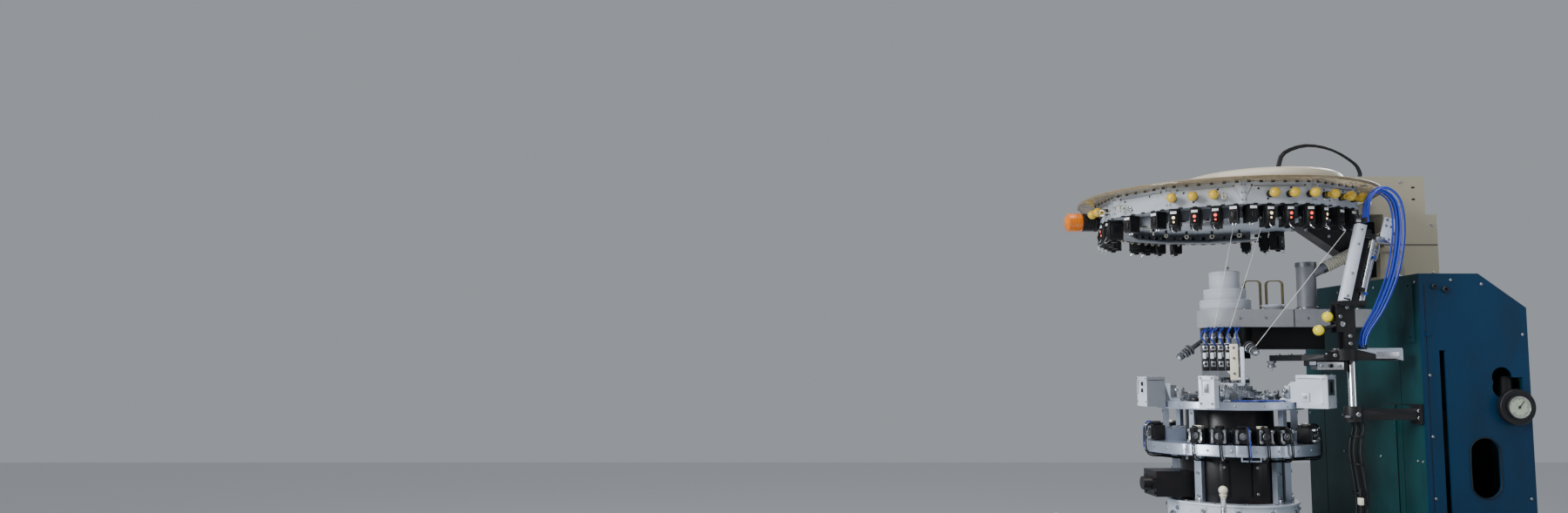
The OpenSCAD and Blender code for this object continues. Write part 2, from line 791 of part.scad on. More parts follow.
hose_r = 13;
hose_start = [16, tube_y + 34, tube_top - 12];
hose_end = [30, neck_y - 12, tube_top + 44];

// Suction tube on its foot ring, with the side branch for the ribbed hose
module suction_tube() {
    wall = 2;
    color("#aaadb0") at_axis() difference() {
        union() {
            translate([0, tube_y, slab_top]) cylinder(r = tube_r + 4, h = 4);
            translate([0, tube_y, slab_top]) cylinder(r = tube_r, h = tube_top - slab_top, $fn = 96);
            rod(hose_start - 30 * unit(hose_end - hose_start), hose_start, hose_r - 3);
        }
        translate([0, tube_y, slab_top + 6]) cylinder(r = tube_r - wall, h = 200);
    }
}

// Ribbed hose from the suction tube to the neck of the boom
module suction_hose() {
    v = hose_end - hose_start;
    rib_count = 18;
    pitch = norm(v) / rib_count;
    tilt = acos(v[2] / norm(v));
    turn = atan2(v[1], v[0]);
    color("#ddd8c4") at_axis() translate(hose_start) rotate([0, tilt, turn]) rotate_extrude($fn = 48)
        polygon(concat(
            [[0, 0]],
            [for (i = [0:rib_count - 1]) each [
                [hose_r - 2.5, (i + 0.05) * pitch], [hose_r, (i + 0.3) * pitch],
                [hose_r, (i + 0.6) * pitch], [hose_r - 2.5, (i + 0.85) * pitch]
            ]],
            [[0, (rib_count - 0.15) * pitch]]
        ));
}

hoop_w = 38;
hoop_h = 68;
hoop_strip = 9;
hoop_y = [70, 119];

// Two bent strap hoops on the cover slab
module strap_hoops() {
    t = 2;
    bend = 10;
    color("#8a7c32") at_axis() for (y = hoop_y)
        translate([-26, y, slab_top]) rotate([90, 0, 90]) linear_extrude(height = hoop_strip) difference() {
            union() {
                translate([-hoop_w / 2, 0]) square([hoop_w, hoop_h - bend]);
                translate([-hoop_w / 2 + bend, 0]) square([hoop_w - 2 * bend, hoop_h]);
                for (s = [-1, 1]) translate([s * (hoop_w / 2 - bend), hoop_h - bend]) circle(r = bend);
            }
            translate([-hoop_w / 2 + t, -1]) square([hoop_w - 2 * t, hoop_h - bend + 1]);
            translate([-hoop_w / 2 + bend, -1]) square([hoop_w - 2 * bend, hoop_h - t + 1]);
            for (s = [-1, 1]) translate([s * (hoop_w / 2 - bend), hoop_h - bend]) circle(r = bend - t);
        }
}

finger_x = 74;
finger_z = housing_low - 26;
finger_count = 5;
finger_pitch = 15;
finger_y0 = -48;
finger_pin_r = 2.5;
finger_turn = -25;

// A coil-shaped thread brake on a short arm
module coil_unit(start, end) {
    v = end - start;
    tilt = acos(v[2] / norm(v));
    turn = atan2(v[1], v[0]);
    translate(start) rotate([0, tilt, turn]) {
        cylinder(r = 5, h = norm(v), $fn = 24);
        for (i = [0:4]) translate([0, 0, norm(v) - 34 + i * 7]) cylinder(r = 11 - i, h = 4.5, $fn = 32);
        translate([0, 0, norm(v) - 2]) cylinder(r = 7, h = 4, $fn = 32);
    }
}

// Finger block: bracket on the dial housing, the fingers' air cylinders, pivot pin and coil brakes
module finger_block() {
    color("#b9bdbf") at_axis() rotate([0, 0, finger_turn]) difference() {
        union() {
            block([cyl_r - 4, finger_y0, housing_low + 30], [finger_x + 12, finger_y0 + 78, housing_low + 42]);
            block([finger_x + 8, finger_y0, finger_z - 4], [finger_x + 12, finger_y0 + 78, housing_low + 31]);
            for (y = [finger_y0, finger_y0 + 76])
                block([finger_x - 6, y, finger_z - 5], [finger_x + 9, y + 2, finger_z + 6]);
            translate([finger_x, finger_y0, finger_z]) rotate([-90, 0, 0])
                cylinder(r = finger_pin_r, h = 78, $fn = 32);
            for (i = [0:finger_count - 1])
                translate([finger_x, finger_y0 + 9 + i * finger_pitch, housing_low + 42]) {
                    cylinder(r = 5.5, h = 16, $fn = 24);
                    translate([0, 0, 16]) cylinder(r = 3, h = 5, $fn = 24);
                }
            coil_unit([30, -38, housing_low + 56], [78, -92, housing_low + 12]);
            coil_unit([40, 30, housing_low + 48], [92, 58, housing_low + 22]);
            block([finger_x + 12, finger_y0 + 60, housing_low - 30], [finger_x + 15, finger_y0 + 76, housing_low + 52]);
        }
        translate([0, 0, housing_low]) cylinder(r = slab_r - 6, h = slab_low - housing_low, $fn = 128);
    }
}

// Yarn fingers on the common pin, reaching in over the needles
module yarn_fingers() {
    color("#d6d6d0") at_axis() rotate([0, 0, finger_turn]) difference() {
        union() {
            translate([finger_x, finger_y0 + 2 + gap, finger_z]) rotate([-90, 0, 0])
                cylinder(r = 5, h = 74 - 2 * gap, $fn = 32);
            for (i = [0:finger_count - 1])
                translate([0, finger_y0 + 7 + i * finger_pitch, 0]) rotate([90, 0, 0]) translate([0, 0, -4])
                    linear_extrude(height = 4) polygon([
                        [finger_x, finger_z + 4], [finger_x, finger_z - 4],
                        [cyl_r + 2 + gap, dial_z + 2], [cyl_r + 2 + gap, dial_z + 6]
                    ]);
        }
        translate([finger_x, finger_y0 - 1, finger_z]) rotate([-90, 0, 0])
            cylinder(r = finger_pin_r + run, h = 80, $fn = 32);
    }
}

// CLAMPED ARM

post_x = 206;
post_y = 157;
post_r = 7.5;
post_low = deck_z + 265;
beam_low = deck_z + 386;
beam_top = beam_low + 22;
slant = atan(40 / 156);
slant_len = 161;
knuckle_z = deck_z + 478;
trip_y = 136;
trip_pin_r = 3;

// Polished post, clamped in a dark block on the upright's front
module arm_post() {
    color("#9da2a8") at_axis() translate([post_x, post_y, post_low])
        cylinder(r = post_r, h = beam_low - post_low, $fn = 48);
    color("#1b1c1f") at_axis() difference() {
        union() {
            translate([post_x, post_y, post_low]) cylinder(r = 17, h = 31, $fn = 48);
            block([post_x - 9, post_y, post_low + 4], [post_x + 9, up_front, post_low + 26]);
            block([post_x - 16, up_front - 8, post_low - 4], [post_x + 16, up_front, post_low + 35]);
        }
        translate([post_x, post_y, post_low - 1]) cylinder(r = post_r, h = 40, $fn = 48);
        translate([post_x - 1, post_y - 30, post_low - 1]) cube([2, 24, 40]);
    }
}

// Box bar and dark plate on the post, with a nose over the needles
module arm_beam() {
    color("#202226") at_axis() {
        block([post_x - 12, post_y - 20, beam_low], [post_x + 12, post_y + 97, beam_top]);
        translate([0, 0, beam_low]) linear_extrude(height = 12) polygon([
            [post_x - 12, post_y + 20], [post_x + 12, post_y - 20], [post_x + 12, post_y - 60],
            [post_x - 20, post_y - 88], [cyl_r + 48, 46], [cyl_r + 34, 58], [post_x - 60, post_y - 40]
        ]);
        translate([post_x, trip_y + 8, beam_low]) cylinder(r = 22, h = beam_top - beam_low);
        translate([cyl_r + 42, 53, beam_low - 14]) cylinder(r = 6, h = 14, $fn = 24);
        block([post_x - 44, post_y - 58, beam_low - 18], [post_x + 6, post_y - 28, beam_low]);
    }
}

// Slanting white bar with its air cylinder and L bracket, on a forked foot
module slant_arm() {
    bar_x = post_x + 10;
    color("#eceef0") at_axis() {
        difference() {
            union() {
                for (s = [-1, 1]) translate([post_x + s * 10 - 3, trip_y, 0]) {
                    block([0, 4, beam_top], [6, 24, knuckle_z - 34]);
                    block([0, -10, knuckle_z - 36], [6, 26, knuckle_z + 20]);
                }
                block([post_x - 13, trip_y - 6, knuckle_z + 16], [bar_x + 14, trip_y + 44, knuckle_z + 26]);
            }
            translate([post_x - 20, trip_y, knuckle_z - 20]) rotate([0, 90, 0])
                cylinder(r = trip_pin_r + run, h = 40, $fn = 32);
        }
        translate([bar_x, trip_y + 4, knuckle_z + 22]) rotate([-slant, 0, 0]) {
            block([-3, -9, 0], [13, 8.5, slant_len]);
            block([-6, 8.5, 0], [8, 22, slant_len - 6]);
            translate([0, 34, 0]) cylinder(r = 8, h = slant_len - 40);
            translate([0, 34, slant_len - 40]) cylinder(r = 3.5, h = 22, $fn = 32);
            block([-6, 8.5, slant_len - 24], [10, 58, slant_len - 14]);
            block([4, 42, slant_len - 24], [10, 64, slant_len + 26]);
        }
    }
}

// Black trip lever with its bright yellow knobs, on a pin in the fork
module trip_lever() {
    knob = 10.5;
    z = knuckle_z - 20;
    color("#f2dc1e") at_axis() {
        translate([post_x - 13.2, trip_y, z]) rotate([0, 90, 0]) cylinder(r = trip_pin_r, h = 26.4, $fn = 32);
        translate([post_x - 6.5, trip_y, z]) rotate([0, 90, 0]) cylinder(r = 8, h = 13, $fn = 48);
        rod([post_x, trip_y, z], [post_x, trip_y - 16, z + 11], 4);
        rod([post_x, trip_y, z], [post_x, trip_y - 34, z - 10], 4);
        translate([post_x, trip_y - 22, z + 15]) sphere(r = knob, $fn = 48);
        translate([post_x, trip_y - 41, z - 12]) sphere(r = knob, $fn = 48);
    }
}

tube_dia = 4;

// Start of a tube of the fan, just outside the dial housing
function fan_start(i) =
    let (y = finger_y0 + 20 + i * 12)
    [sqrt(pow(slab_r - 2.6, 2) - y * y), y, slab_low - 2 * gap];

// Blue air tubes: a fan from the cover slab to the fingers, and an arch over the slanting bar
module air_tubes() {
    color("#1f3fae") at_axis() {
        rotate([0, 0, finger_turn]) for (i = [0:finger_count - 1])
            swept(smooth([
                fan_start(i),
                fan_start(i) - [0, 0, 3],
                fan_start(i) - [0, 0, 6],
                [finger_x + 2, (fan_start(i)[1] + finger_y0 + 9 + i * finger_pitch) / 2, slab_low - 8],
                [finger_x, finger_y0 + 9 + i * finger_pitch, housing_low + 68],
                [finger_x, finger_y0 + 9 + i * finger_pitch, housing_low + 63 + gap]
            ], 3), tube_dia / 2);
        for (i = [0:3]) translate([i * 5, 0, 0])
            swept(smooth([
                [post_x + 20, 182, fascia_low - 34],
                [post_x + 25, 184, fascia_low + 8],
                [post_x + 27, 208, fascia_low + 30],
                [post_x + 28, 236, fascia_low + 8],
                [post_x + 28, 242, fascia_low - 50],
                [post_x + 24, 230, fascia_low - 130],
                [post_x + 14, 206, fascia_low - 200],
                [post_x - 4, 184, beam_top + 34],
                [post_x - 8, 180, beam_top + 14],
                [post_x - 8, 180, beam_top + 7],
                [post_x - 8, 180, beam_top + gap]
            ], 3), tube_dia / 2);
    }
}

// UPRIGHT AND BOOM

chamfer_y = 405;
chamfer_run = 92;
chamfer_drop = 68;
neck_d = 116;
boom_low = lid_z - 33;
slot_y = 321;
oblong_y = 401;
oblong_z = deck_z + 176;
gauge_y = 462;
gauge_z = deck_z + 295;
gauge_r = 24;

// Outline of the upright seen from the side, shrunk by a wall
function upright_outline(t) = [
    [up_front + t, deck_z],
    [up_front + t, up_top - t],
    [chamfer_y, up_top - t],
    [chamfer_y + chamfer_run - t, up_top - chamfer_drop - t],
    [chamfer_y + chamfer_run - t, deck_z]
];

// Side sheet of the upright with its slot, hand hole, arched window and screws
module upright_side(side) {
    x_low = side > 0 ? up_w / 2 - sheet_t : -up_w / 2;
    oblong_h = 116;
    oblong_r = 28.5;
    color("#14406b") at_axis() difference() {
        union() {
            translate([x_low, 0, 0]) rotate([90, 0, 90]) linear_extrude(height = sheet_t) polygon(upright_outline(0));
            for (p = [[316, -26], [338, -32], [300, -120]]) translate([side * up_w / 2, p[0], up_top + p[1]])
                rotate([0, side * 90, 0]) cylinder(r = 4.5, h = 2.5, $fn = 24);
        }
        translate([x_low - 1, 0, 0]) rotate([90, 0, 90]) linear_extrude(height = sheet_t + 2) {
            translate([slot_y, deck_z + 40]) square([11, 366]);
            for (s = [-1, 1]) translate([oblong_y, oblong_z + s * (oblong_h / 2 - oblong_r)]) circle(r = oblong_r);
            translate([oblong_y - oblong_r, oblong_z - oblong_h / 2 + oblong_r])
                square([2 * oblong_r, oblong_h - 2 * oblong_r]);
            translate([gauge_y - 20, gauge_z - 26]) square([40, 84]);
            translate([gauge_y - 20, gauge_z + 58]) circle(r = 20);
            translate([gauge_y - 20, gauge_z + 38]) circle(r = 20);
            translate([gauge_y - 26, gauge_z + 14]) square([32, 44]);
        }
    }
}

module upright_right() {
    upright_side(1);
}

module upright_left() {
    upright_side(-1);
}

// Front sheet of the upright with its door line and the narrow cover strip
module upright_front() {
    color("#25707a") at_axis() difference() {
        union() {
            block([-up_w / 2 + sheet_t, up_front, deck_z], [up_w / 2 - sheet_t, up_front + sheet_t, up_top - sheet_t]);
            block([up_w / 2 - 44, up_front - 3, up_top - 136], [up_w / 2 - 18, up_front, up_top - 12]);
        }
        for (x = [-150, 150]) block([x - 1, up_front - 1, deck_z + 20], [x + 1, up_front + 1, up_top - 170]);
        block([-150, up_front - 1, up_top - 172], [150, up_front + 1, up_top - 170]);
        for (z = [up_top - 126, up_top - 22])
            translate([up_w / 2 - 31, up_front - 4, z]) rotate([-90, 0, 0]) cylinder(r = 3, h = 3, $fn = 24);
    }
}

// Bent sheet: the upright's top, its chamfer and its back
module upright_back() {
    t = sheet_t;
    far_y = chamfer_y + chamfer_run;
    shoulder = up_top - chamfer_drop;
    color("#1b5f68") at_axis() difference() {
        translate([-up_w / 2 + t, 0, 0]) rotate([90, 0, 90]) linear_extrude(height = up_w - 2 * t) polygon([
            [up_front, up_top - t], [up_front, up_top], [chamfer_y, up_top], [far_y, shoulder], [far_y, deck_z],
            [far_y - t, deck_z], [far_y - t, shoulder - t / 2], [chamfer_y - t / 2, up_top - t]
        ]);
        for (i = [0:8]) block([-90, far_y - t - 1, deck_z + 90 + i * 24], [90, far_y + 1, deck_z + 98 + i * 24]);
        translate([inlet_x, far_y - t - 1, inlet_z]) rotate([-90, 0, 0]) cylinder(r = 9, h = t + 2, $fn = 48);
    }
}

inlet_x = 150;
inlet_z = deck_z + 330;
inlet_r = 5.9;

// Pressure gauge on the dark body of the air regulator, with the inlet union at the rear
module pressure_gauge() {
    body_x = up_w / 2 - sheet_t - 42;
    far_y = chamfer_y + chamfer_run;
    color("#222326") at_axis() {
        block([body_x, gauge_y - 16, gauge_z - 20], [body_x + 40, gauge_y + 16, gauge_z + 20]);
        translate([body_x + 20, gauge_y, gauge_z + 20]) cylinder(r = 15, h = 40);
        block([inlet_x - 12, gauge_y - 16, gauge_z - 16], [body_x + 1, gauge_y + 16, gauge_z + 16]);
        block([inlet_x - 12, gauge_y - 16, gauge_z + 16], [inlet_x + 12, gauge_y + 8, inlet_z + 12]);
        block([body_x + 8, up_front + sheet_t, gauge_z - 8], [body_x + 24, gauge_y - 16, gauge_z + 8]);
    }
    color("#d9dcd8") at_axis() {
        translate([body_x + 40, gauge_y, gauge_z]) rotate([0, 90, 0]) cylinder(r = 6, h = 8, $fn = 32);
        translate([up_w / 2 + 1, gauge_y, gauge_z]) rotate([0, 90, 0]) difference() {
            cylinder(r = gauge_r, h = 14);
            translate([0, 0, 11]) cylinder(r = gauge_r - 3, h = 5);
        }
        translate([body_x + 46, gauge_y, gauge_z]) rotate([0, 90, 0]) cylinder(r = 5, h = 10, $fn = 32);
        difference() {
            translate([inlet_x, gauge_y + 8, inlet_z]) rotate([-90, 0, 0])
                cylinder(r = 9 - gap, h = far_y + 14 - gauge_y - 8, $fn = 48);
            translate([inlet_x, far_y - 6, inlet_z]) rotate([-90, 0, 0]) cylinder(r = inlet_r, h = 24, $fn = 48);
        }
    }
}

boom_step_y = 82 + dome_r + 2;

// Box boom on its neck, with the standpipe and thin rod beside the neck
module neck_boom() {
    half = boom_w / 2;
    color("#c9c4b4") at_axis() {
        difference() {
            union() {
                block([-half, neck_y, up_top], [half, neck_y + neck_d, boom_low]);
                block([-half, 100, boom_low], [half, neck_y + neck_d - 24, lid_z - 2]);
                block([-half, boom_step_y, boom_low], [half, neck_y + neck_d - 24, boom_top]);
                block([-half - 14, neck_y - 10, up_top], [half + 14, neck_y + neck_d + 8, up_top + 6]);
                rod(hose_end, hose_end + 30 * unit(hose_end - hose_start), hose_r);
            }
            for (z = [boom_top - 26, boom_top - 52]) block([-half - 1, 396, z], [half + 1, 404, z + 4]);
        }
        translate([78, 324, up_top]) cylinder(r = 22, h = 69);
        translate([108, 318, up_top]) cylinder(r = 3.5, h = 96, $fn = 32);
    }
}

// Dark gusset between the boom and the neck
module boom_gusset() {
    color("#1a1b1d") at_axis() translate([-36, 0, 0]) rotate([90, 0, 90]) linear_extrude(height = 42)
        polygon([[168, fascia_low - 8], [168, fascia_low], [neck_y, fascia_low], [neck_y, up_top + 12]]);
}

// YARN DISC

fascia_low = lid_z - 45;
fascia_t = 3;
apothem = fascia_r * cos(15);
lid_t = 4;
tray_r = fascia_r - 40;
tray_low = fascia_low - 22;
dome_y = 82;
knob_z = fascia_low + 19;
knob_groups = [[-43, 3], [-4, 4], [33, 2], [-93, 2], [-133, 3], [-178, 4], [128, 3]];
knob_angles = [for (g = knob_groups) for (i = [0:g[1] - 1]) g[0] + i * knob_pitch];
blank_angles = [-68, -53, -19, -11];

// Places children on the fascia's flat at an angle: local x stands out of the face
module on_fascia(angle) {
    face = 30 * round(angle / 30);
    at_axis() rotate([0, 0, face]) translate([apothem, apothem * tan(angle - face), 0]) children();
}

// Clear shallow lid with a rolled rim, notched for the boom
module lid() {
    color("#d8d2bf", 0.8) at_axis() difference() {
        rotate_extrude($fn = 128) polygon([
            [dome_hole, lid_z], [lid_r - 4, lid_z], [lid_r - 4, lid_z - 2], [lid_r, lid_z - 2],
            [lid_r, lid_z + lid_t - 1], [lid_r - 1, lid_z + lid_t], [dome_hole, lid_z + lid_t]
        ]);
        block([-boom_w / 2 - gap, boom_step_y - 1, lid_z - 10], [boom_w / 2 + gap, lid_r + 10, lid_z + 10]);
    }
}

dome_hole = 60;

// Rounded dome over the middle of the lid, with the grommet of the cables
module dome() {
    wall = 4;
    low = lid_z + lid_t;
    top = boom_top;
    color("#cfc9b8") at_axis() translate([0, dome_y, 0]) {
        rotate_extrude($fn = 128) polygon([
            [0, top], [0, top - wall], [dome_r - 16, top - wall], [dome_r - wall, top - 18],
            [dome_r - wall, low], [dome_r, low], [dome_r, top - 18], [dome_r - 5, top - 6], [dome_r - 16, top]
        ]);
        translate([96, 0, top]) cylinder(r1 = 13, r2 = 11, h = 5, $fn = 32);
    }
}

// Twelve-sided band with its floor, notched for the boom
module fascia_band() {
    notch = boom_w / 2 + gap;
    color("#ccd0d6") at_axis() difference() {
        union() {
            translate([0, 0, fascia_low]) difference() {
                rotate([0, 0, 15]) cylinder(r = fascia_r, h = lid_z - fascia_low, $fn = 12);
                translate([0, 0, fascia_t]) rotate([0, 0, 15])
                    cylinder(r = fascia_r - fascia_t, h = lid_z - fascia_low, $fn = 12);
                translate([0, 0, -1]) cylinder(r = dome_hole, h = 10);
            }
            translate([0, 0, fascia_low]) ring(boom_w / 2 + 46, dome_hole, 0, 12);
        }
        block([-notch, 99, boom_low - gap], [notch, fascia_r + 10, lid_z + 1]);
        for (i = [0:11]) rotate([0, 0, i * 30]) for (y = [-52, 52])
            translate([apothem - 10, y, lid_z - 8]) rotate([0, 90, 0]) cylinder(r = 2.6, h = 20, $fn = 24);
    }
}

// Dark thread sensors under the band, each with its small window lens, and blank bodies between them
module sensor_bodies() {
    color("#141416") {
        for (a = knob_angles) on_fascia(a) {
            block([-30, -9, fascia_low - 43], [-1, 9, fascia_low]);
            block([-1, -7, fascia_low - 37], [3, 7, fascia_low - 5]);
            translate([3, 0, fascia_low - 19]) rotate([0, 90, 0]) cylinder(r = 3.2, h = 2, $fn = 24);
        }
        for (a = blank_angles) on_fascia(a) block([-30, -8, fascia_low - 35], [-1, 8, fascia_low]);
    }
}

// Yellow ball knobs on stems with dark collars
module tension_knobs() {
    color("#d8b428") for (a = knob_angles) on_fascia(a) translate([0, 0, knob_z]) {
        rotate([0, 90, 0]) cylinder(r = 7, h = 4, $fn = 32);
        rotate([0, 90, 0]) cylinder(r = 3, h = 20, $fn = 24);
        rotate([0, 90, 0]) cylinder(r1 = 6, r2 = 3.5, h = 14, $fn = 32);
        translate([22, 0, 0]) sphere(r = knob_r, $fn = 36);
    }
}

// Lower tray: an open ring of light sheet under the band with clips on its wall, open at the rear
module lower_tray() {
    flat = tray_r * cos(15);
    color("#c3c7cb") at_axis() difference() {
        union() {
            translate([0, 0, tray_low]) difference() {
                rotate([0, 0, 15]) cylinder(r = tray_r, h = fascia_low - tray_low, $fn = 12);
                translate([0, 0, 3]) rotate([0, 0, 15]) cylinder(r = tray_r - 3, h = 60, $fn = 12);
                translate([0, 0, -1]) rotate([0, 0, 15]) cylinder(r = tray_r - 34, h = 60, $fn = 12);
            }
            for (i = [0:8]) rotate([0, 0, i * 30 - 210]) for (y = [-30, 30])
                block([flat - 5, y - 6, fascia_low - 10], [flat + 1.5, y + 6, fascia_low - 4]);
        }
        block([-300, 140, tray_low - 1], [300, 300, fascia_low + 1]);
    }
}

// Amber warning lamp on its black base at the front of the band
module beacon() {
    lamp_x = -46;
    lamp_z = fascia_low + 6;
    base_len = 37;
    lens_len = 30;
    color("#e88a1c") at_axis() translate([lamp_x, -apothem, lamp_z]) rotate([90, 0, 0]) {
        cylinder(r = 19, h = base_len);
        translate([0, 0, base_len]) cylinder(r = 21, h = lens_len);
        translate([0, 0, base_len + lens_len]) cylinder(r1 = 21, r2 = 15, h = 8);
    }
}

cable_r = 2.7;
bundle_x = 204;
bundle_y = 166;

// Dark cables: two loops over the dome and the bundle down to the deck
module cables() {
    color("#16181a") at_axis() {
        for (i = [0:1]) translate([-i * 8, i * 8, 0])
            swept(smooth([
                [99, dome_y - 3, boom_top + 5 + gap],
                [99, dome_y - 3, boom_top + 10],
                [99, dome_y - 3, boom_top + 15],
                [94, dome_y + 12, boom_top + 42],
                [74, dome_y + 70, boom_top + 62],
                [46, dome_y + 140, boom_top + 58],
                [22, dome_y + 200, boom_top + 34],
                [18, dome_y + 214, boom_top + 14],
                [18, dome_y + 214, boom_top + 7],
                [18, dome_y + 214, boom_top + gap]
            ], 3), cable_r);
        for (i = [0:3]) translate([i * 7.5 - 11, (i % 2) * 9 - 4.5, 0])
            swept(smooth([
                [bundle_x, bundle_y, post_low - gap],
                [bundle_x, bundle_y, post_low - 8],
                [bundle_x, bundle_y, post_low - 16],
                [bundle_x - 3, bundle_y - 6, post_low - 60],
                [bundle_x + 1, bundle_y + 1, deck_z + 120],
                [bundle_x, bundle_y, deck_z + 50],
                [bundle_x, bundle_y, deck_z - 60]
            ], 3), cable_r);
    }
}

// DRIVE

motor_r = 70;
motor_top = deck_z - 150;
motor_low = motor_top - 170;
motor_off = 200;
drive_shaft_r = 9;
pulley_r = 24;
pillar_r = 8;

// Vertical drive motor with cooling fins, hung from the deck on four pillars
module drive_motor() {
    color("#3d4247") at_axis() translate([0, motor_off, 0]) difference() {
        union() {
            translate([0, 0, motor_low]) cylinder(r = motor_r - 6, h = motor_top - motor_low, $fn = 96);
            translate([0, 0, motor_top]) cylinder(r = motor_r + 14, h = 12, $fn = 96);
            for (i = [0:23]) rotate([0, 0, i * 15])
                block([motor_r - 8, -1.5, motor_low + 12], [motor_r, 1.5, motor_top - 6]);
            for (a = [45:90:315]) rotate([0, 0, a])
                translate([motor_r + 2, 0, motor_top + 11]) cylinder(r = pillar_r, h = side_top - motor_top - 11);
        }
        translate([0, 0, motor_low - 1]) cylinder(r = drive_shaft_r + run, h = 300);
    }
}

// Drive shaft with the toothed pulley at the top and the handwheel at the bottom
module handwheel() {
    color("#7b8085") at_axis() translate([0, motor_off, 0]) {
        translate([0, 0, motor_low - 40]) cylinder(r = drive_shaft_r, h = gear_low - motor_low + 40, $fn = 64);
        translate([0, 0, gear_low - 36]) cylinder(r = pulley_r, h = 32, $fn = 96);
        for (z = [gear_low - 40, gear_low - 4]) translate([0, 0, z]) cylinder(r = pulley_r + 6, h = 4, $fn = 96);
        translate([0, 0, motor_low - 40]) difference() {
            union() {
                translate([0, 0, 2]) cylinder(r = 20, h = 20);
                difference() {
                    cylinder(r = 60, h = 16, $fn = 96);
                    translate([0, 0, -1]) cylinder(r = 48, h = 18, $fn = 96);
                }
                for (a = [0:120:240]) rotate([0, 0, a]) block([0, -6, 4], [50, 6, 12]);
            }
        }
    }
}

belt_t = 4;

// Toothed belt round the cylinder's pulley and the motor's pulley
module drive_belt() {
    color("#1c1c1c") at_axis() translate([0, 0, gear_low - 35.5]) linear_extrude(height = 31) difference() {
        hull() {
            circle(r = gear_r + gap + belt_t);
            translate([0, motor_off]) circle(r = pulley_r + gap + belt_t);
        }
        hull() {
            circle(r = gear_r + gap);
            translate([0, motor_off]) circle(r = pulley_r + gap);
        }
    }
}

duct_r = 46;
duct_wall = 3;
spigot_r = duct_r - 1.2;
duct_bend = 90;

// Sock duct: down from under the needle cylinder, round a bend and out of the back as a hose spigot
module suction_duct() {
    top_z = gear_low - 40 - gap;
    color("#a9adb1") {
        at_axis() {
            ring(duct_r, duct_r - duct_wall, drain_z + duct_bend, top_z);
            translate([0, duct_bend, drain_z + duct_bend]) rotate([90, 0, -90]) rotate_extrude(angle = 90, $fn = 96)
                translate([duct_bend, 0]) difference() {
                    circle(r = duct_r);
                    circle(r = duct_r - duct_wall);
                }
        }
        translate([0, axis_y + duct_bend, drain_z]) rotate([-90, 0, 0]) difference() {
            union() {
                cylinder(r = duct_r, h = back_y + 1 - axis_y - duct_bend, $fn = 96);
                cylinder(r = spigot_r, h = back_y + spigot_out - axis_y - duct_bend, $fn = 96);
            }
            translate([0, 0, -1]) cylinder(r = duct_r - duct_wall, h = 1000, $fn = 96);
        }
        block([-40, axis_y + 120, base_top], [40, axis_y + 200, base_top + 6]);
        block([-16, axis_y + 140, base_top], [16, axis_y + 180, drain_z - duct_r + 1.5]);
    }
}

base_frame();
levelling_feet();
side_panel_right();
side_panel_left();
rear_panel();
deck_plate();
front_door();
panel_frame();
panel_face();
estop_base();
estop_button();
stop_button();
start_button();
key_switch();
base_skirt();
base_ring();
clamp_lever();
drum_housing();
support_posts();
lower_ring();
selector_motors();
upper_ring();
actuator_boxes();
needle_cylinder();
cylinder_gear();
cam_box();
sinker_cap();
dial();
dial_housing();
belt_cover();
cap_stack();
suction_tube();
suction_hose();
strap_hoops();
finger_block();
yarn_fingers();
arm_post();
arm_beam();
slant_arm();
trip_lever();
air_tubes();
upright_right();
upright_left();
upright_front();
upright_back();
pressure_gauge();
neck_boom();
boom_gusset();
lid();
dome();
fascia_band();
sensor_bodies();
tension_knobs();
lower_tray();
beacon();
cables();
drive_motor();
handwheel();
drive_belt();
suction_duct();
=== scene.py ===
"""Finishes and fine parts of a single-cylinder sock knitting machine, in metres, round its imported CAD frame."""

import math

import bmesh
import bpy
from mathutils import Matrix, Vector


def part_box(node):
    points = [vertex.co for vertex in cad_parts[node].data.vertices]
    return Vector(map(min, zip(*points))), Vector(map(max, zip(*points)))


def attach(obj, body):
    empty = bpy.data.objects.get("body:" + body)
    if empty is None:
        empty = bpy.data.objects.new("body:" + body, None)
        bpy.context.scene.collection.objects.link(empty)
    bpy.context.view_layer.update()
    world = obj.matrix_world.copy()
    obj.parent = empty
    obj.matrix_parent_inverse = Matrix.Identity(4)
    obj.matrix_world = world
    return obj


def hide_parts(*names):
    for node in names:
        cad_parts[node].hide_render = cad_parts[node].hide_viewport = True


bl_info = {
    "name": "Sock Knitting Machine",
    "version": (1, 0, 0),
    "blender": (4, 5, 0),
    "location": "View3D > Sidebar > Knitting",
    "description": "Finishes and fine parts of a single-cylinder sock knitting machine",
    "category": "Object",
}

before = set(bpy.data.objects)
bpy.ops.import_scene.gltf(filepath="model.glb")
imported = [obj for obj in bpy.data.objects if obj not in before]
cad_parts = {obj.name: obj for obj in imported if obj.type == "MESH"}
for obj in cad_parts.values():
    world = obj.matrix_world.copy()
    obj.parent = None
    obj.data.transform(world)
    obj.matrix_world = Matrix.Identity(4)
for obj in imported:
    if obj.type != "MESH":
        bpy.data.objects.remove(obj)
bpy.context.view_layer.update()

# Places read from the frame
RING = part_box("upper_ring")
AXIS = Vector(((RING[0].x + RING[1].x) / 2, (RING[0].y + RING[1].y) / 2, 0.0))
Z = Vector((0, 0, 1))

# Distance in metres within which loose corners of a CAD mesh are joined, and the angle that makes an edge sharp
MERGE = 0.00002
SHARP_DEGREES = 34
SMOOTH_DEGREES = 32


def corners(node):
    """Lowest and highest corner of a CAD node."""
    low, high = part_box(node)
    return Vector(low), Vector(high)


def linear(code):
    """A linear colour from a screen colour such as '#1f6f78'."""
    parts = [int(code[i : i + 2], 16) / 255 for i in (1, 3, 5)]
    return tuple(v / 12.92 if v <= 0.04045 else ((v + 0.055) / 1.055) ** 2.4 for v in parts) + (1.0,)


# FINISHES


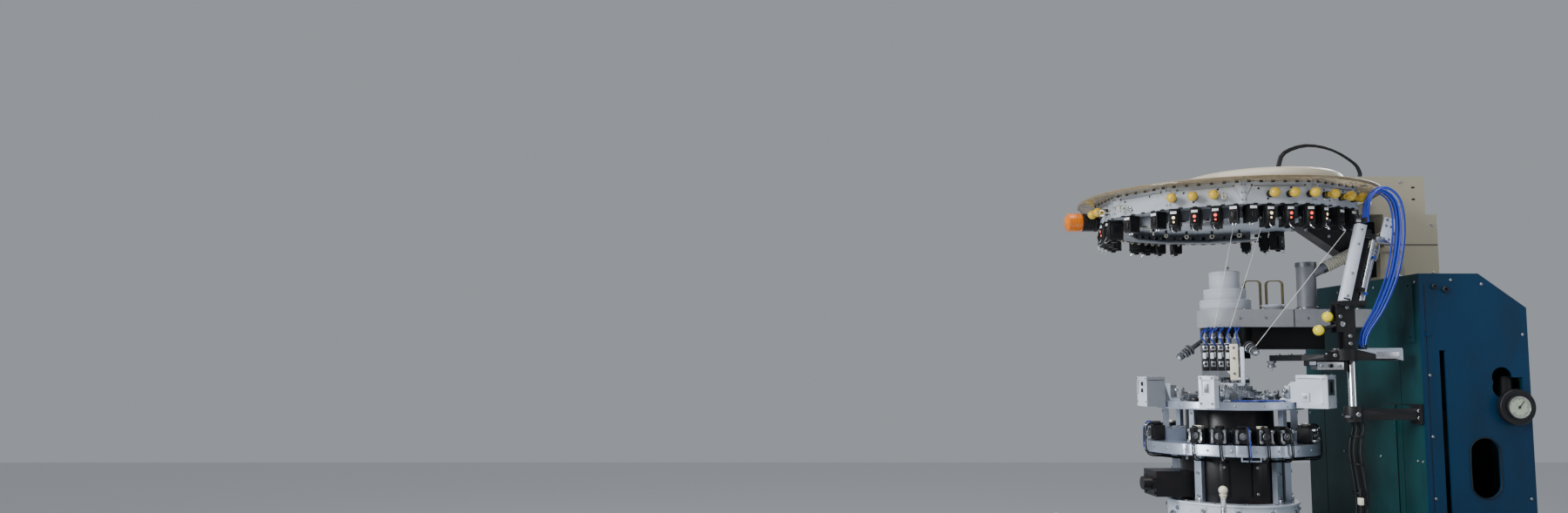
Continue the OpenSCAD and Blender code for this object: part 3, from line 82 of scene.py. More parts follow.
def wire_up(tree, kind, **values):
    """A new shader node with some of its inputs set."""
    made = tree.nodes.new(kind)
    for key, value in values.items():
        made.inputs[key.replace("_", " ")].default_value = value
    return made


def noise_mask(tree, coordinates, scale, low, high, detail=5.0, rough=0.6, stretch=(1, 1, 1)):
    """A grey pattern between 0 and 1: noise whose values from low to high are spread out."""
    mapping = wire_up(tree, "ShaderNodeMapping", Scale=stretch)
    tree.links.new(coordinates, mapping.inputs["Vector"])
    noise = wire_up(tree, "ShaderNodeTexNoise", Scale=scale, Detail=detail, Roughness=rough)
    tree.links.new(mapping.outputs["Vector"], noise.inputs["Vector"])
    spread = tree.nodes.new("ShaderNodeMapRange")
    spread.inputs["From Min"].default_value = low
    spread.inputs["From Max"].default_value = high
    tree.links.new(noise.outputs["Fac"], spread.inputs["Value"])
    return spread.outputs["Result"]


def blended(tree, mask, amount, under, over):
    """Colour over laid on colour under where the mask is white; under may be a socket or a colour."""
    mix = tree.nodes.new("ShaderNodeMix")
    mix.data_type = "RGBA"
    strength = tree.nodes.new("ShaderNodeMath")
    strength.operation = "MULTIPLY"
    strength.inputs[1].default_value = amount
    tree.links.new(mask, strength.inputs[0])
    tree.links.new(strength.outputs[0], mix.inputs[0])
    for value, socket in ((under, mix.inputs[6]), (over, mix.inputs[7])):
        if hasattr(value, "is_linked"):
            tree.links.new(value, socket)
        else:
            socket.default_value = value
    return mix.outputs[2]


def finish(name, colour, roughness=0.45, metallic=0.0, tone=None, tone_amount=0.5, tone_scale=7.0,
           grime=None, grime_amount=0.35, grime_scale=14.0, grime_from=0.5, stretch=(1, 1, 1),
           grain=0.05, grain_scale=900.0, grain_stretch=(1, 1, 1), spread=0.12, base=None, **sockets):
    """A surface: broad tones, grime in patches, uneven gloss and a fine grain, all on Object coordinates."""
    made = bpy.data.materials.new(name)
    made.use_nodes = True
    tree = made.node_tree
    shader = tree.nodes["Principled BSDF"]
    place = tree.nodes.new("ShaderNodeTexCoord").outputs["Object"]
    base = base or linear(colour)
    made.diffuse_color = base
    broad = noise_mask(tree, place, tone_scale, 0.35, 0.68, stretch=stretch)
    base = blended(tree, broad, tone_amount, base, linear(tone or colour))
    if grime:
        patches = noise_mask(tree, place, grime_scale, grime_from, grime_from + 0.2, 8.0, 0.68, stretch)
        base = blended(tree, patches, grime_amount, base, linear(grime))
    tree.links.new(base, shader.inputs["Base Color"])
    shader.inputs["Metallic"].default_value = metallic
    gloss = tree.nodes.new("ShaderNodeMapRange")
    gloss.inputs["To Min"].default_value = max(0.03, roughness - spread / 2)
    gloss.inputs["To Max"].default_value = min(1.0, roughness + spread / 2)
    tree.links.new(noise_mask(tree, place, tone_scale * 3.1, 0.3, 0.7, 4.0), gloss.inputs["Value"])
    tree.links.new(gloss.outputs["Result"], shader.inputs["Roughness"])
    if grain:
        bump = wire_up(tree, "ShaderNodeBump", Strength=grain, Distance=0.0004)
        fine = noise_mask(tree, place, grain_scale, 0.3, 0.7, 3.0, 0.5, grain_stretch)
        tree.links.new(fine, bump.inputs["Height"])
        tree.links.new(bump.outputs["Normal"], shader.inputs["Normal"])
    for key, value in sockets.items():
        shader.inputs[key.replace("_", " ")].default_value = value
    return made


FINISHES = {}


def material(name):
    """A named finish of the machine, made when it is first used."""
    if name not in FINISHES:
        FINISHES[name] = finish(name, **LOOKS[name])
    return FINISHES[name]


BRUSHED_ROUND = {"grain": 0.12, "grain_scale": 260.0, "grain_stretch": (1, 1, 9)}
LOOKS = {
    "deep_blue_paint": dict(colour="#03304e", tone="#021f36", tone_amount=0.75, tone_scale=3.2, grime="#071c22",
        grime_amount=0.5, grime_scale=6.5, grime_from=0.52, stretch=(1, 1, 0.55), roughness=0.46, grain=0.22,
        grain_scale=420.0, Specular_IOR_Level=0.2),
    "teal_paint": dict(colour="#124546", tone="#0a2c36", tone_amount=0.8, tone_scale=4.0, grime="#0b2224",
        grime_amount=0.55, grime_scale=8.0, stretch=(1, 1, 0.5), roughness=0.46, grain=0.2, grain_scale=420.0,
        Specular_IOR_Level=0.2),
    "cabinet_teal": dict(colour="#0f4a5b", tone="#0a3444", tone_amount=0.7, tone_scale=2.6, grime="#0b262d",
        grime_amount=0.4, grime_scale=5.5, grime_from=0.53, stretch=(1, 1, 0.6), roughness=0.42, grain=0.2,
        grain_scale=420.0, Specular_IOR_Level=0.3),
    "deck_teal": dict(colour="#15474f", tone="#10363d", tone_amount=0.7, tone_scale=5.0, grime="#101f22",
        grime_amount=0.6, grime_scale=11.0, roughness=0.38, grain=0.15, Coat_Weight=0.3),
    "black_paint": dict(colour="#101114", tone="#1a1c1f", tone_scale=9.0, grime="#2c2a26", grime_amount=0.3,
        grime_scale=22.0, roughness=0.5, Specular_IOR_Level=0.3, grain=0.15, grain_scale=600.0),
    "oily_black": dict(colour="#0f1013", tone="#1c1a1c", tone_scale=12.0, grime="#3b2119", grime_amount=0.55,
        grime_scale=16.0, grime_from=0.53, roughness=0.34, grain=0.12, grain_scale=500.0, Specular_IOR_Level=0.35),
    "foot_iron": dict(colour="#3b3e41", tone="#2b2d2f", grime="#5a4334", roughness=0.6, metallic=0.7, grain=0.4,
        grain_scale=700.0),
    "door_cream": dict(colour="#dfe3d6", tone="#cfd6cb", tone_scale=3.0, grime="#a9a892", grime_amount=0.3,
        grime_scale=5.0, grime_from=0.55, roughness=0.35, grain=0.1, Coat_Weight=0.3),
    "panel_blue": dict(colour="#c9dbe0", tone="#b4cad1", tone_scale=6.0, grime="#8b999a", grime_amount=0.3,
        grime_from=0.56, roughness=0.4, grain=0.14),
    "panel_white": dict(colour="#f0f0eb", tone="#e2e3df", tone_scale=8.0, grime="#b9b8ad", grime_amount=0.25,
        grime_from=0.57, roughness=0.42, grain=0.08),
    "white_enamel": dict(colour="#e2e8f2", tone="#c6cfdf", tone_amount=0.6, tone_scale=11.0, grime="#77777d",
        grime_amount=0.4, grime_scale=26.0, grime_from=0.56, roughness=0.38, grain=0.12, Coat_Weight=0.25),
    "slab_grey": dict(colour="#a9aaae", tone="#8d8f95", tone_amount=0.7, tone_scale=8.0, grime="#6b6a69",
        grime_amount=0.45, grime_scale=17.0, grime_from=0.53, roughness=0.48, grain=0.3, grain_scale=380.0),
    "cap_grey": dict(colour="#bfc3cb", tone="#a9adb6", tone_scale=9.0, grime="#87847e", grime_scale=20.0,
        grime_from=0.55, roughness=0.5, grain=0.15),
    "band_grey": dict(colour="#a9b4c6", tone="#b9b8b2", tone_amount=0.75, tone_scale=3.0, grime="#6f6d66",
        grime_amount=0.45, grime_scale=18.0, grime_from=0.54, roughness=0.42, grain=0.16, grain_scale=500.0),
    "tray_grey": dict(colour="#7c8087", tone="#63676c", tone_amount=0.6, tone_scale=5.0, grime="#56534d",
        grime_amount=0.5, grime_scale=21.0, grime_from=0.53, roughness=0.46, grain=0.18, grain_scale=500.0),
    "boom_beige": dict(colour="#9a9481", tone="#878170", tone_amount=0.7, tone_scale=3.4, grime="#8a8272",
        grime_scale=7.0, grime_from=0.54, stretch=(1, 1, 0.5), roughness=0.5, grain=0.25, grain_scale=420.0),
    "dome_beige": dict(colour="#aaa291", tone="#958c78", tone_amount=0.6, tone_scale=4.0, grime="#93886f",
        grime_amount=0.3, grime_scale=9.0, grime_from=0.55, roughness=0.4, grain=0.08, Coat_Weight=0.2),
    "smoked_lid": dict(colour="#b9ab8e", tone="#a4967a", tone_amount=0.6, tone_scale=3.0, grime="#7d6d50",
        grime_scale=12.0, grime_from=0.54, roughness=0.2, Transmission_Weight=0.7, IOR=1.2, Coat_Weight=0.3),
    "rim_brown": dict(colour="#7d6a4c", tone="#a3946f", tone_amount=0.7, tone_scale=9.0, roughness=0.3,
        Transmission_Weight=0.3, IOR=1.46),
    "ring_alu": dict(colour="#bcc5d4", tone="#a0a9b9", tone_scale=12.0, grime="#6f6c68", grime_scale=30.0,
        grime_from=0.57, roughness=0.34, metallic=0.75, **BRUSHED_ROUND),
    "bright_steel": dict(colour="#c2c5ca", tone="#a7abb2", tone_scale=18.0, grime="#5c5650", grime_scale=40.0,
        grime_from=0.56, roughness=0.26, metallic=0.92, **BRUSHED_ROUND),
    "dull_steel": dict(colour="#85888d", tone="#6d7076", tone_scale=14.0, grime="#3a3632", grime_amount=0.45,
        grime_scale=30.0, roughness=0.42, metallic=0.85, grain=0.2, grain_scale=500.0),
    "tube_grey": dict(colour="#8b8c93", tone="#73757d", tone_scale=6.0, grime="#6a6864", roughness=0.5,
        metallic=0.15, grain=0.2, grain_scale=420.0),
    "chrome": dict(colour="#e3e5e8", tone="#cfd2d6", tone_scale=22.0, roughness=0.12, metallic=1.0, spread=0.08,
        grain=0.02),
    "screw_steel": dict(colour="#a9acb1", tone="#8b8e93", tone_scale=60.0, roughness=0.3, metallic=0.95),
    "olive_brass": dict(colour="#8f8355", tone="#6f6740", tone_scale=16.0, grime="#3d3a26", grime_amount=0.4,
        grime_scale=40.0, roughness=0.38, metallic=0.6, grain=0.12),
    "hose_cream": dict(colour="#d9d3bf", tone="#c3bca5", tone_scale=10.0, grime="#8d8468", grime_scale=30.0,
        roughness=0.55, grain=0.1),
    "blue_tube": dict(colour="#1735a8", tone="#0e2274", tone_scale=25.0, roughness=0.4, grain=0.02,
        Coat_Weight=0.15, Coat_Roughness=0.3),
    "black_rubber": dict(colour="#0f1013", tone="#18191c", tone_scale=25.0, grime="#2c2d2c", grime_amount=0.25,
        grime_scale=50.0, roughness=0.55, Specular_IOR_Level=0.3, grain=0.15, grain_scale=1200.0),
    "green_cable": dict(colour="#16302c", tone="#0f201f", tone_scale=20.0, roughness=0.5, grain=0.1),
    "ochre_ball": dict(colour="#d3b12c", tone="#b8932a", tone_amount=0.6, tone_scale=30.0, grime="#7d6524",
        grime_amount=0.4, grime_scale=60.0, grime_from=0.56, roughness=0.3, Coat_Weight=0.4),
    "lemon_ball": dict(colour="#f0dc18", tone="#dcc714", tone_scale=30.0, roughness=0.2, grain=0.02,
        Coat_Weight=0.6),
    "red_cap": dict(colour="#bf2418", tone="#a01a12", tone_scale=20.0, roughness=0.3, grain=0.04, Coat_Weight=0.4),
    "yellow_ring": dict(colour="#e3bf1e", tone="#cfa91a", tone_scale=20.0, roughness=0.35, Coat_Weight=0.3),
    "green_ring": dict(colour="#3fa06a", tone="#2f8656", tone_scale=20.0, roughness=0.35, Coat_Weight=0.3),
    "dark_key": dict(colour="#35335a", tone="#252343", tone_scale=20.0, grain=0.1, grain_scale=1500.0),
    "display_glass": dict(colour="#7f9089", tone="#6f8078", tone_scale=14.0, roughness=0.12, grain=0.0,
        Coat_Weight=0.8, Coat_Roughness=0.05),
    "ivory": dict(colour="#e8e2cb", tone="#d3caab", tone_scale=30.0, roughness=0.25, grain=0.03, Coat_Weight=0.5),
    "white_strip": dict(colour="#e9eaec", tone="#d2d4d8", tone_scale=40.0, roughness=0.5, grain=0.08),
    "amber_lens": dict(colour="#b85604", tone="#dc8410", tone_amount=0.7, tone_scale=35.0, roughness=0.2,
        grain=0.03, Coat_Weight=0.4, Emission_Color=(1.0, 0.25, 0.0, 1.0), Emission_Strength=0.05),
    "warm_window": dict(colour="#ffe9b8", tone="#ffd98f", tone_scale=50.0, roughness=0.2, grain=0.0,
        Emission_Color=(1.0, 0.8, 0.45, 1.0), Emission_Strength=1.6),
    "red_window": dict(colour="#d8392e", tone="#ff7a66", tone_scale=50.0, roughness=0.2, grain=0.0,
        Emission_Color=(1.0, 0.06, 0.03, 1.0), Emission_Strength=2.2),
    "gauge_face": dict(colour="#aeb6a2", tone="#8e9689", tone_scale=60.0, grime="#3a4560", grime_amount=0.5,
        grime_scale=90.0, roughness=0.3, grain=0.0),
    "yarn_white": dict(colour="#efeeea", tone="#dad8d0", tone_scale=80.0, roughness=0.8, grain=0.5,
        grain_scale=2500.0, Sheen_Weight=0.4),
    "motor_iron": dict(colour="#464b50", tone="#35393d", tone_scale=8.0, grime="#2a2521", grime_amount=0.4,
        grime_scale=16.0, roughness=0.55, metallic=0.3, grain=0.4, grain_scale=420.0),
}

NODE_FINISHES = {
    "deep_blue_paint": ["upright_right", "upright_left"],
    "teal_paint": ["upright_front", "upright_back"],
    "cabinet_teal": ["side_panel_right", "side_panel_left", "rear_panel"],
    "deck_teal": ["deck_plate"],
    # The boom gusset gets this black finish; its darkness is partly its paint and partly painted shade for the
    # shadow under the boom.
    "black_paint": ["base_frame", "boom_gusset", "arm_beam", "pressure_gauge", "selector_motors"],
    "oily_black": ["drum_housing", "dial_housing"],
    "foot_iron": ["levelling_feet"],
    "door_cream": ["front_door"],
    "panel_blue": ["panel_frame"],
    "panel_white": ["panel_face"],
    "yellow_ring": ["estop_base", "start_button"],
    "red_cap": ["estop_button", "stop_button"],
    "chrome": ["key_switch", "clamp_lever", "arm_post"],
    "white_enamel": ["base_ring", "actuator_boxes", "slant_arm"],
    "slab_grey": ["belt_cover", "base_skirt"],
    "cap_grey": ["cap_stack"],
    "band_grey": ["fascia_band"],
    "tray_grey": ["lower_tray"],
    "boom_beige": ["neck_boom"],
    "dome_beige": ["dome"],
    "smoked_lid": ["lid"],
    "ring_alu": ["lower_ring", "upper_ring", "support_posts", "cam_box"],
    "bright_steel": ["needle_cylinder", "sinker_cap", "dial", "yarn_fingers"],
    "dull_steel": ["cylinder_gear", "handwheel", "suction_duct", "finger_block"],
    "tube_grey": ["suction_tube"],
    "olive_brass": ["strap_hoops"],
    "hose_cream": ["suction_hose"],
    "blue_tube": ["air_tubes"],
    "black_rubber": ["sensor_bodies", "cables", "drive_belt"],
    "ochre_ball": ["tension_knobs"],
    "lemon_ball": ["trip_lever"],
    "amber_lens": ["beacon"],
    "motor_iron": ["drive_motor"],
}

# CAD parts whose sharp edges are rounded
SOFT_EDGES = (
    "side_panel_right", "side_panel_left", "deck_plate", "panel_frame", "upright_right", "upright_left",
    "upright_front", "upright_back", "neck_boom", "boom_gusset", "belt_cover", "cap_stack", "dome", "lid",
    "fascia_band", "lower_tray", "base_ring", "lower_ring", "upper_ring", "support_posts", "drum_housing",
    "drive_motor", "base_skirt", "finger_block", "pressure_gauge",
)


def dress(nodes, name):
    """Gives CAD nodes a finish."""
    for node in nodes:
        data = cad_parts[node].data
        data.materials.clear()
        data.materials.append(material(name))


def add_edges(obj, width):
    """A Bevel modifier that rounds sharp edges, so that they catch the light."""
    bevel = obj.modifiers.new("Edges", "BEVEL")
    bevel.width = width
    bevel.segments = 2
    bevel.limit_method = "ANGLE"
    bevel.angle_limit = math.radians(SHARP_DEGREES)
    bevel.profile = 0.5
    return bevel


def soften(node, width):
    """Rounds a CAD node's sharp edges a little."""
    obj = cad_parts[node]
    obj.modifiers.new("Weld", "WELD").merge_threshold = MERGE
    add_edges(obj, width).miter_outer = "MITER_ARC"


# SHAPES


def facing(direction):
    """A turn that takes local Z to a direction."""
    return Z.rotation_difference(Vector(direction)).to_matrix().to_4x4()


def place(origin, out):
    """A frame at origin whose local X points out and local Z as near up as can be."""
    x = Vector(out).normalized()
    y = Z.cross(x).normalized()
    z = x.cross(y)
    return Matrix.Translation(Vector(origin)) @ Matrix((x, y, z)).transposed().to_4x4()


class Shape:
    """A mesh in the making.

    Its measures are millimetres, in the frame at where one is given. Its finishes are numbered as they are named.
    """

    def __init__(self, *finishes):
        self.bm = bmesh.new()
        self.finishes = finishes

    def _done(self, verts, finish_no, bevel=0, segments=2):
        faces = {face for vert in verts for face in vert.link_faces}
        for face in faces:
            face.material_index = finish_no
        if bevel:
            edges = {edge for face in faces for edge in face.edges}
            bmesh.ops.bevel(
                self.bm, geom=list(edges), offset=bevel, offset_type="OFFSET", affect="EDGES",
                segments=segments, profile=0.5, material=-1, clamp_overlap=True)

    def block(self, low, high, finish_no=0, bevel=0.6, at=None, segments=2):
        """A box between two corners."""
        low, high = Vector(mm(*low)), Vector(mm(*high))
        matrix = (at or Matrix()) @ Matrix.Translation((low + high) / 2) @ Matrix.Diagonal((high - low).to_4d())
        made = bmesh.ops.create_cube(self.bm, size=1, matrix=matrix)
        self._done(made["verts"], finish_no, bevel / 1000, segments)

    def rod(self, start, end, r, finish_no=0, sides=20, at=None):
        """A round bar between two points."""
        start, end = Vector(mm(*start)), Vector(mm(*end))
        matrix = (at or Matrix()) @ Matrix.Translation((start + end) / 2) @ facing(end - start)
        made = bmesh.ops.create_cone(
            self.bm, cap_ends=True, cap_tris=False, segments=sides, radius1=r / 1000, radius2=r / 1000,
            depth=(end - start).length, matrix=matrix)
        self._done(made["verts"], finish_no)

    def ball(self, centre, r, finish_no=0, scale=(1, 1, 1), at=None, rings=12):
        """A ball, or an egg where scale says so."""
        matrix = (at or Matrix()) @ shift(*centre) @ Matrix.Diagonal(Vector(scale).to_4d())
        made = bmesh.ops.create_uvsphere(self.bm, u_segments=rings * 2, v_segments=rings, radius=r / 1000,
                                         matrix=matrix)
        self._done(made["verts"], finish_no)

    def _take(self, small, finish_no=None):
        """Adds a small mesh made apart, which is much quicker than shaping it inside a large one."""
        if finish_no is not None:
            for face in small.faces:
                face.material_index = finish_no
        data = bpy.data.meshes.new("part")
        small.to_mesh(data)
        small.free()
        self.bm.from_mesh(data)
        bpy.data.meshes.remove(data)

    def turned(self, profile, finish_no=0, at=None, steps=48):
        """A profile of (radius, height) points turned round local Z. A closed profile makes a ring."""
        small = bmesh.new()
        closed = profile[0] == profile[-1]
        points = profile[:-1] if closed else profile
        verts = [small.verts.new(mm(r, 0, z)) for r, z in points]
        edges = [small.edges.new(pair) for pair in zip(verts, verts[1:])]
        if closed:
            edges.append(small.edges.new((verts[-1], verts[0])))
        bmesh.ops.spin(
            small, geom=verts + edges, cent=(0, 0, 0), axis=(0, 0, 1), dvec=(0, 0, 0), angle=math.tau,
            steps=steps, use_merge=True, use_duplicate=False)
        bmesh.ops.remove_doubles(small, verts=small.verts, dist=1e-6)
        bmesh.ops.transform(small, matrix=at or Matrix(), verts=small.verts)
        self._take(small, finish_no)

    def sleeve(self, r_in, r_out, low, high, *rest):
        """A ring of rectangular section, from one height to another."""
        self.turned([(r_in, low), (r_out, low), (r_out, high), (r_in, high), (r_in, low)], *rest)

    def ring(self, r, thick, finish_no, at, steps, sides):
        """A round ring of wire about local Z."""
        profile = [
            (r + thick * math.cos(k * math.tau / sides), thick * math.sin(k * math.tau / sides))
            for k in range(sides)]
        self.turned(profile + profile[:1], finish_no, at, steps)

    def screw(self, at, r, finish_no=0, kind="hex"):
        """A screw head that stands on local X, with its socket or slot."""
        head = at @ Matrix.Rotation(math.pi / 2, 4, "Y")
        h = r * 0.75
        if kind == "hex":
            profile = [(0, h * 0.45), (r * 0.42, h * 0.45), (r * 0.5, h), (r * 0.86, h), (r, h * 0.8), (r, 0),
                       (0, 0)]
        else:
            profile = [(0, h * 0.8), (r * 0.5, h * 0.72), (r * 0.86, h * 0.42), (r, 0), (0, 0)]
        self.turned(profile, finish_no, head, 12)
        if kind != "hex":
            self.block((h * 0.5, -r * 0.12, -r * 0.8), (h * 0.86, r * 0.12, r * 0.8), finish_no, 0, at)

    def countersunk(self, at, r, finish_no, painted_shade_no):
        """A slotted screw sunk flush into the sheet, on local X; its countersink and slot are painted shade, a thin
        dark disc and a dark bar in place of the recesses.
        """
        head = at @ Matrix.Rotation(math.pi / 2, 4, "Y")
        # painted shade: a thin dark disc round the head stands for the shade in the countersink
        self.turned([(0, 0.1), (r * 1.22, 0.1), (r * 1.3, 0), (0, 0)], painted_shade_no, head, 16)
        self.turned([(0, 0.26), (r * 0.94, 0.26), (r, 0), (0, 0)], finish_no, head, 16)
        # painted shade: a dark bar across the head stands for the shade in the slot
        self.block((0.2, -r * 0.12, -r * 0.8), (0.32, r * 0.12, r * 0.8), painted_shade_no, 0, at)

    def wire(self, points, r, finish_no=0, sides=8, steps=5, at=None):
        """A smooth wire through points, with closed ends."""
        pts = [(at or Matrix()) @ Vector(mm(*p)) for p in points]
        route = []
        for i in range(len(pts) - 1):
            a, b, c, d = pts[max(i - 1, 0)], pts[i], pts[i + 1], pts[min(i + 2, len(pts) - 1)]
            for s in range(steps):
                t = s / steps
                route.append(0.5 * (2 * b + (c - a) * t + (2 * a - 5 * b + 4 * c - d) * t * t
                                    + (3 * b - a - 3 * c + d) * t ** 3))
        route.append(pts[-1])
        heading = (route[1] - route[0]).normalized()
        small = bmesh.new()
        made = bmesh.ops.create_circle(
            small, cap_ends=True, cap_tris=False, segments=sides, radius=r / 1000,
            matrix=Matrix.Translation(route[0]) @ facing(heading))
        face = made["verts"][0].link_faces[0]
        face.normal_flip()
        loop = list(face.edges)
        for i in range(1, len(route)):
            after = route[min(i + 1, len(route) - 1)] - route[i - 1]
            swing = heading.rotation_difference(after.normalized()).to_matrix().to_4x4()
            heading = after.normalized()
            grown = bmesh.ops.extrude_edge_only(small, edges=loop)["geom"]
            verts = [g for g in grown if isinstance(g, bmesh.types.BMVert)]
            loop = [g for g in grown if isinstance(g, bmesh.types.BMEdge) and all(v in verts for v in g.verts)]
            matrix = Matrix.Translation(route[i]) @ swing @ Matrix.Translation(-route[i - 1])
            bmesh.ops.transform(small, matrix=matrix, verts=verts)
        bmesh.ops.contextual_create(small, geom=loop)
        self._take(small, finish_no)

    def copy_node(self, node, rule=None):
        """The CAD node's own shape, merged, with a finish for each face by rule(centre, normal)."""
        other = bmesh.new()
        other.from_mesh(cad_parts[node].data)
        bmesh.ops.remove_doubles(other, verts=other.verts, dist=MERGE)
        for face in other.faces:
            face.material_index = rule(face.calc_center_median(), face.normal) if rule else 0
        self._take(other)

    def finish(self, name, body="machine", slot=None, replaces=()):
        """Makes the piece: turns its faces out, and gives it its finishes and its body. The slot argument is not
        used.
        """
        bmesh.ops.recalc_face_normals(self.bm, faces=self.bm.faces)
        data = bpy.data.meshes.new(name)
        self.bm.to_mesh(data)
        self.bm.free()
        for each in self.finishes:
            data.materials.append(material(each))
        data.polygons.foreach_set("use_smooth", [True] * len(data.polygons))
        data.set_sharp_from_angle(angle=math.radians(SMOOTH_DEGREES))
        obj = bpy.data.objects.new(name, data)
        bpy.context.scene.collection.objects.link(obj)
        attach(obj, body)
        if replaces:
            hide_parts(*replaces)
        return obj


def spot(x, y, z):
    """A point given in millimetres from the knitting axis, with z above the floor."""
    return AXIS + Vector((x, y, z)) / 1000


def on_circle(angle, r, z):
    """A point on a circle round the knitting axis, in millimetres from it."""
    spin = math.radians(angle)
    return r * math.cos(spin), r * math.sin(spin), z


def around(angle, r, z):
    """A frame on a circle round the knitting axis: local X points out and local Z up."""
    a = math.radians(angle)
    out = Vector((math.cos(a), math.sin(a), 0))
    return place(AXIS + out * r / 1000 + Vector((0, 0, z / 1000)), out)


def mm(*values):
    """Millimetres as metres."""
    return tuple(v / 1000 for v in values)


def shift(x, y, z):
    """A move by millimetres."""
    return Matrix.Translation(mm(x, y, z))


def stand(x, y, z):
    """An upright frame at a point given in millimetres from the knitting axis."""
    return Matrix.Translation(spot(x, y, z))


# The knitting axis on the floor, and turns that take local X up, or local Z to local X
HERE = Matrix.Translation(AXIS)
UPWARD = Matrix.Rotation(-math.pi / 2, 4, "Y")
OUTWARD = facing((1, 0, 0))


def polar(point):
    """Angle in degrees and distance in millimetres of a point from the knitting axis."""
    d = Vector(point) - AXIS
    return math.degrees(math.atan2(d.y, d.x)), math.hypot(d.x, d.y) * 1000


# KNITTING HEAD

DECK = round(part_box("deck_plate")[1].z * 1000)
MOTOR_ANGLES = (-150, -122, -95, -46, -30.5, -15, 0, 15, 48, 75, 105, 140)
BOX_ANGLES = (-36, -90, 46, 150)
BOX_SIZES = ((38, 30, 66), (40, 60, 64), (60, 57, 68), (50, 50, 62))
RING_LOW = DECK + 215
RING_UP = DECK + 301
LOWER_RING_R = 174
UPPER_RING_R = 145
BASE_RING_R = 130
MOTOR_FACE_R = 170.3
DRUM_R = 104


def motor_frame(angle):
    """The middle of a motor's back, with local X out along its shaft line."""
    return around(angle, 140, RING_LOW + 18)


def make_motors():
    """Square motors with bright end screws, plugs and short leads over the ring."""
    shape = Shape("black_paint", "screw_steel")
    shape.copy_node("selector_motors", lambda c, n: int(polar(c)[1] > MOTOR_FACE_R))
    add_edges(shape.finish("motor_bodies", slot="motor_black", replaces=["selector_motors"]), 0.0008)
    trim = Shape("black_rubber", "screw_steel", "ivory", "dull_steel", "blue_tube")
    for i, angle in enumerate(MOTOR_ANGLES):
        at = motor_frame(angle)
        for y in (-11.5, 11.5):
            for z in (-11.4, 10.6):
                trim.screw(at @ shift(33, y, z), 3.2, 1)
        trim.turned([(0, 32), (6.2, 32), (7, 31.2), (7, 30), (0, 30)], 3, at @ OUTWARD, 24)
        trim.turned([(0, 34.5), (2.2, 34.5), (2.6, 34), (2.6, 32), (0, 32)], 1, at @ OUTWARD, 16)
        trim.block((4, -8, 15.2), (19, 8, 20.2), 2 if i % 3 == 0 else 0, 0.8, at)
        for y in (-5, 0, 5):
            trim.block((17, y - 1.4, 16.4), (21, y + 1.4, 19.2), 0, 0.3, at)
        side = (i % 3 - 1) * 5
        trim.wire(((20, side, 17.8), (30, side + 1, 19), (37, side + 2, 10), (39.4, side + 2, -6),
            (39.4, side + 3, -22), (38.6, side + 4, -41), (30, side + 5, -50), (4, side + 6, -52),
            (-34, side + 7, -56)), 1.6, 0, at=at)
        trim.wire(((20, side + 3.4, 17.6), (29, side + 4.4, 18), (38, side + 5.4, 8), (39.8, side + 6, -10),
            (39.8, side + 7, -26), (38, side + 8, -40), (28, side + 8.6, -47), (0, side + 9, -50),
            (-34, side + 10, -54)), 1.1, 4 if i % 4 == 1 else 0, at=at)
    trim.finish("motor_plugs_and_leads", slot="motor_black")


def make_ring_parts():
    """Screws and small pads of both rings, the posts and the drum."""
    shape = Shape("screw_steel", "black_paint", "bright_steel", "white_enamel", "oily_black")
    for k in range(24):
        shape.screw(around(k * 15 + 7.5, LOWER_RING_R, RING_LOW - 11), 2.6, 0, "slot")
    for k in range(16):
        shape.screw(around(k * 22.5 + 4, UPPER_RING_R, RING_UP - 8), 2.4, 0, "slot")
    for angle in (-150, -115, -56, 28, 75, 125, 165):
        at = around(angle, 118, RING_LOW - 23)
        for z in (-88, -40, -9):
            shape.screw(at @ shift(0, 0, z), 3.6, 0)
        shape.block((-1, -6, -101), (4.5, 6, -92), 2, 0.6, at)
        upper = around(angle, 135, RING_LOW)
        for z in (7, 62):
            shape.screw(upper @ shift(0, 0, z), 2.8, 0)
    for angle in MOTOR_ANGLES:
        at = around(angle, 100, RING_LOW + 27)
        for x in (8, 26):
            for y in (-8, 8):
                shape.screw(at @ shift(x, y, -1) @ UPWARD, 2.2, 0)
    # bolted pads and clamp blocks of the drum
    for angle in (-30, 4, 100):
        at = around(angle, DRUM_R, DECK + 104)
        shape.block((-2, -9, 0), (5, 9, 70), 4, 1, at)
        for z in (8, 62):
            shape.screw(at @ shift(5, 0, z), 3, 0)
    for k in range(8):
        shape.block((-1, -4, 0), (4, 4, 12), 2, 0.6, around(k * 45 + 14, DRUM_R, DECK + 176))
    shape.finish("ring_screws_and_pads", slot="needle_steel")


def make_base_ring():
    """Bolts, plugs and seams of the white base ring, and the screws of the skirt."""
    shape = Shape("screw_steel", "white_enamel", "black_rubber", "slab_grey")
    for k in range(12):
        shape.screw(around(k * 30 + 12, BASE_RING_R + 1.5, DECK + 75), 3.7, 0)
        shape.sleeve(5.6, 6.4, 0, 1.2, 1, around(k * 30 + 12, BASE_RING_R, DECK + 75) @ OUTWARD, 20)
        shape.screw(around(k * 30 + 27, BASE_RING_R, DECK + 45), 4.2, 0)
        top = around(k * 30 + 20, 122, DECK + 91)
        shape.screw(top @ UPWARD, 3.5, 0)
    for angle in (-62, 38, 128, -142):
        at = around(angle, 129, DECK + 34)
        shape.block((0, -14, 0), (8, 14, 22), 1, 1.6, at)
        for y in (-8, 8):
            shape.screw(at @ shift(8, y, 11), 3.4, 0)
    at = around(-84, 129, DECK + 60)
    shape.turned([(0, 9), (7, 9), (8, 8), (8, 0), (0, 0)], 0, at @ OUTWARD, 6)
    for k in range(16):
        at = around(k * 22.5 + 11.25, 178, DECK + 5.6)
        shape.screw(at @ UPWARD, 4.4, 0)
    shape.finish("base_ring_bolts", slot="white_enamel")


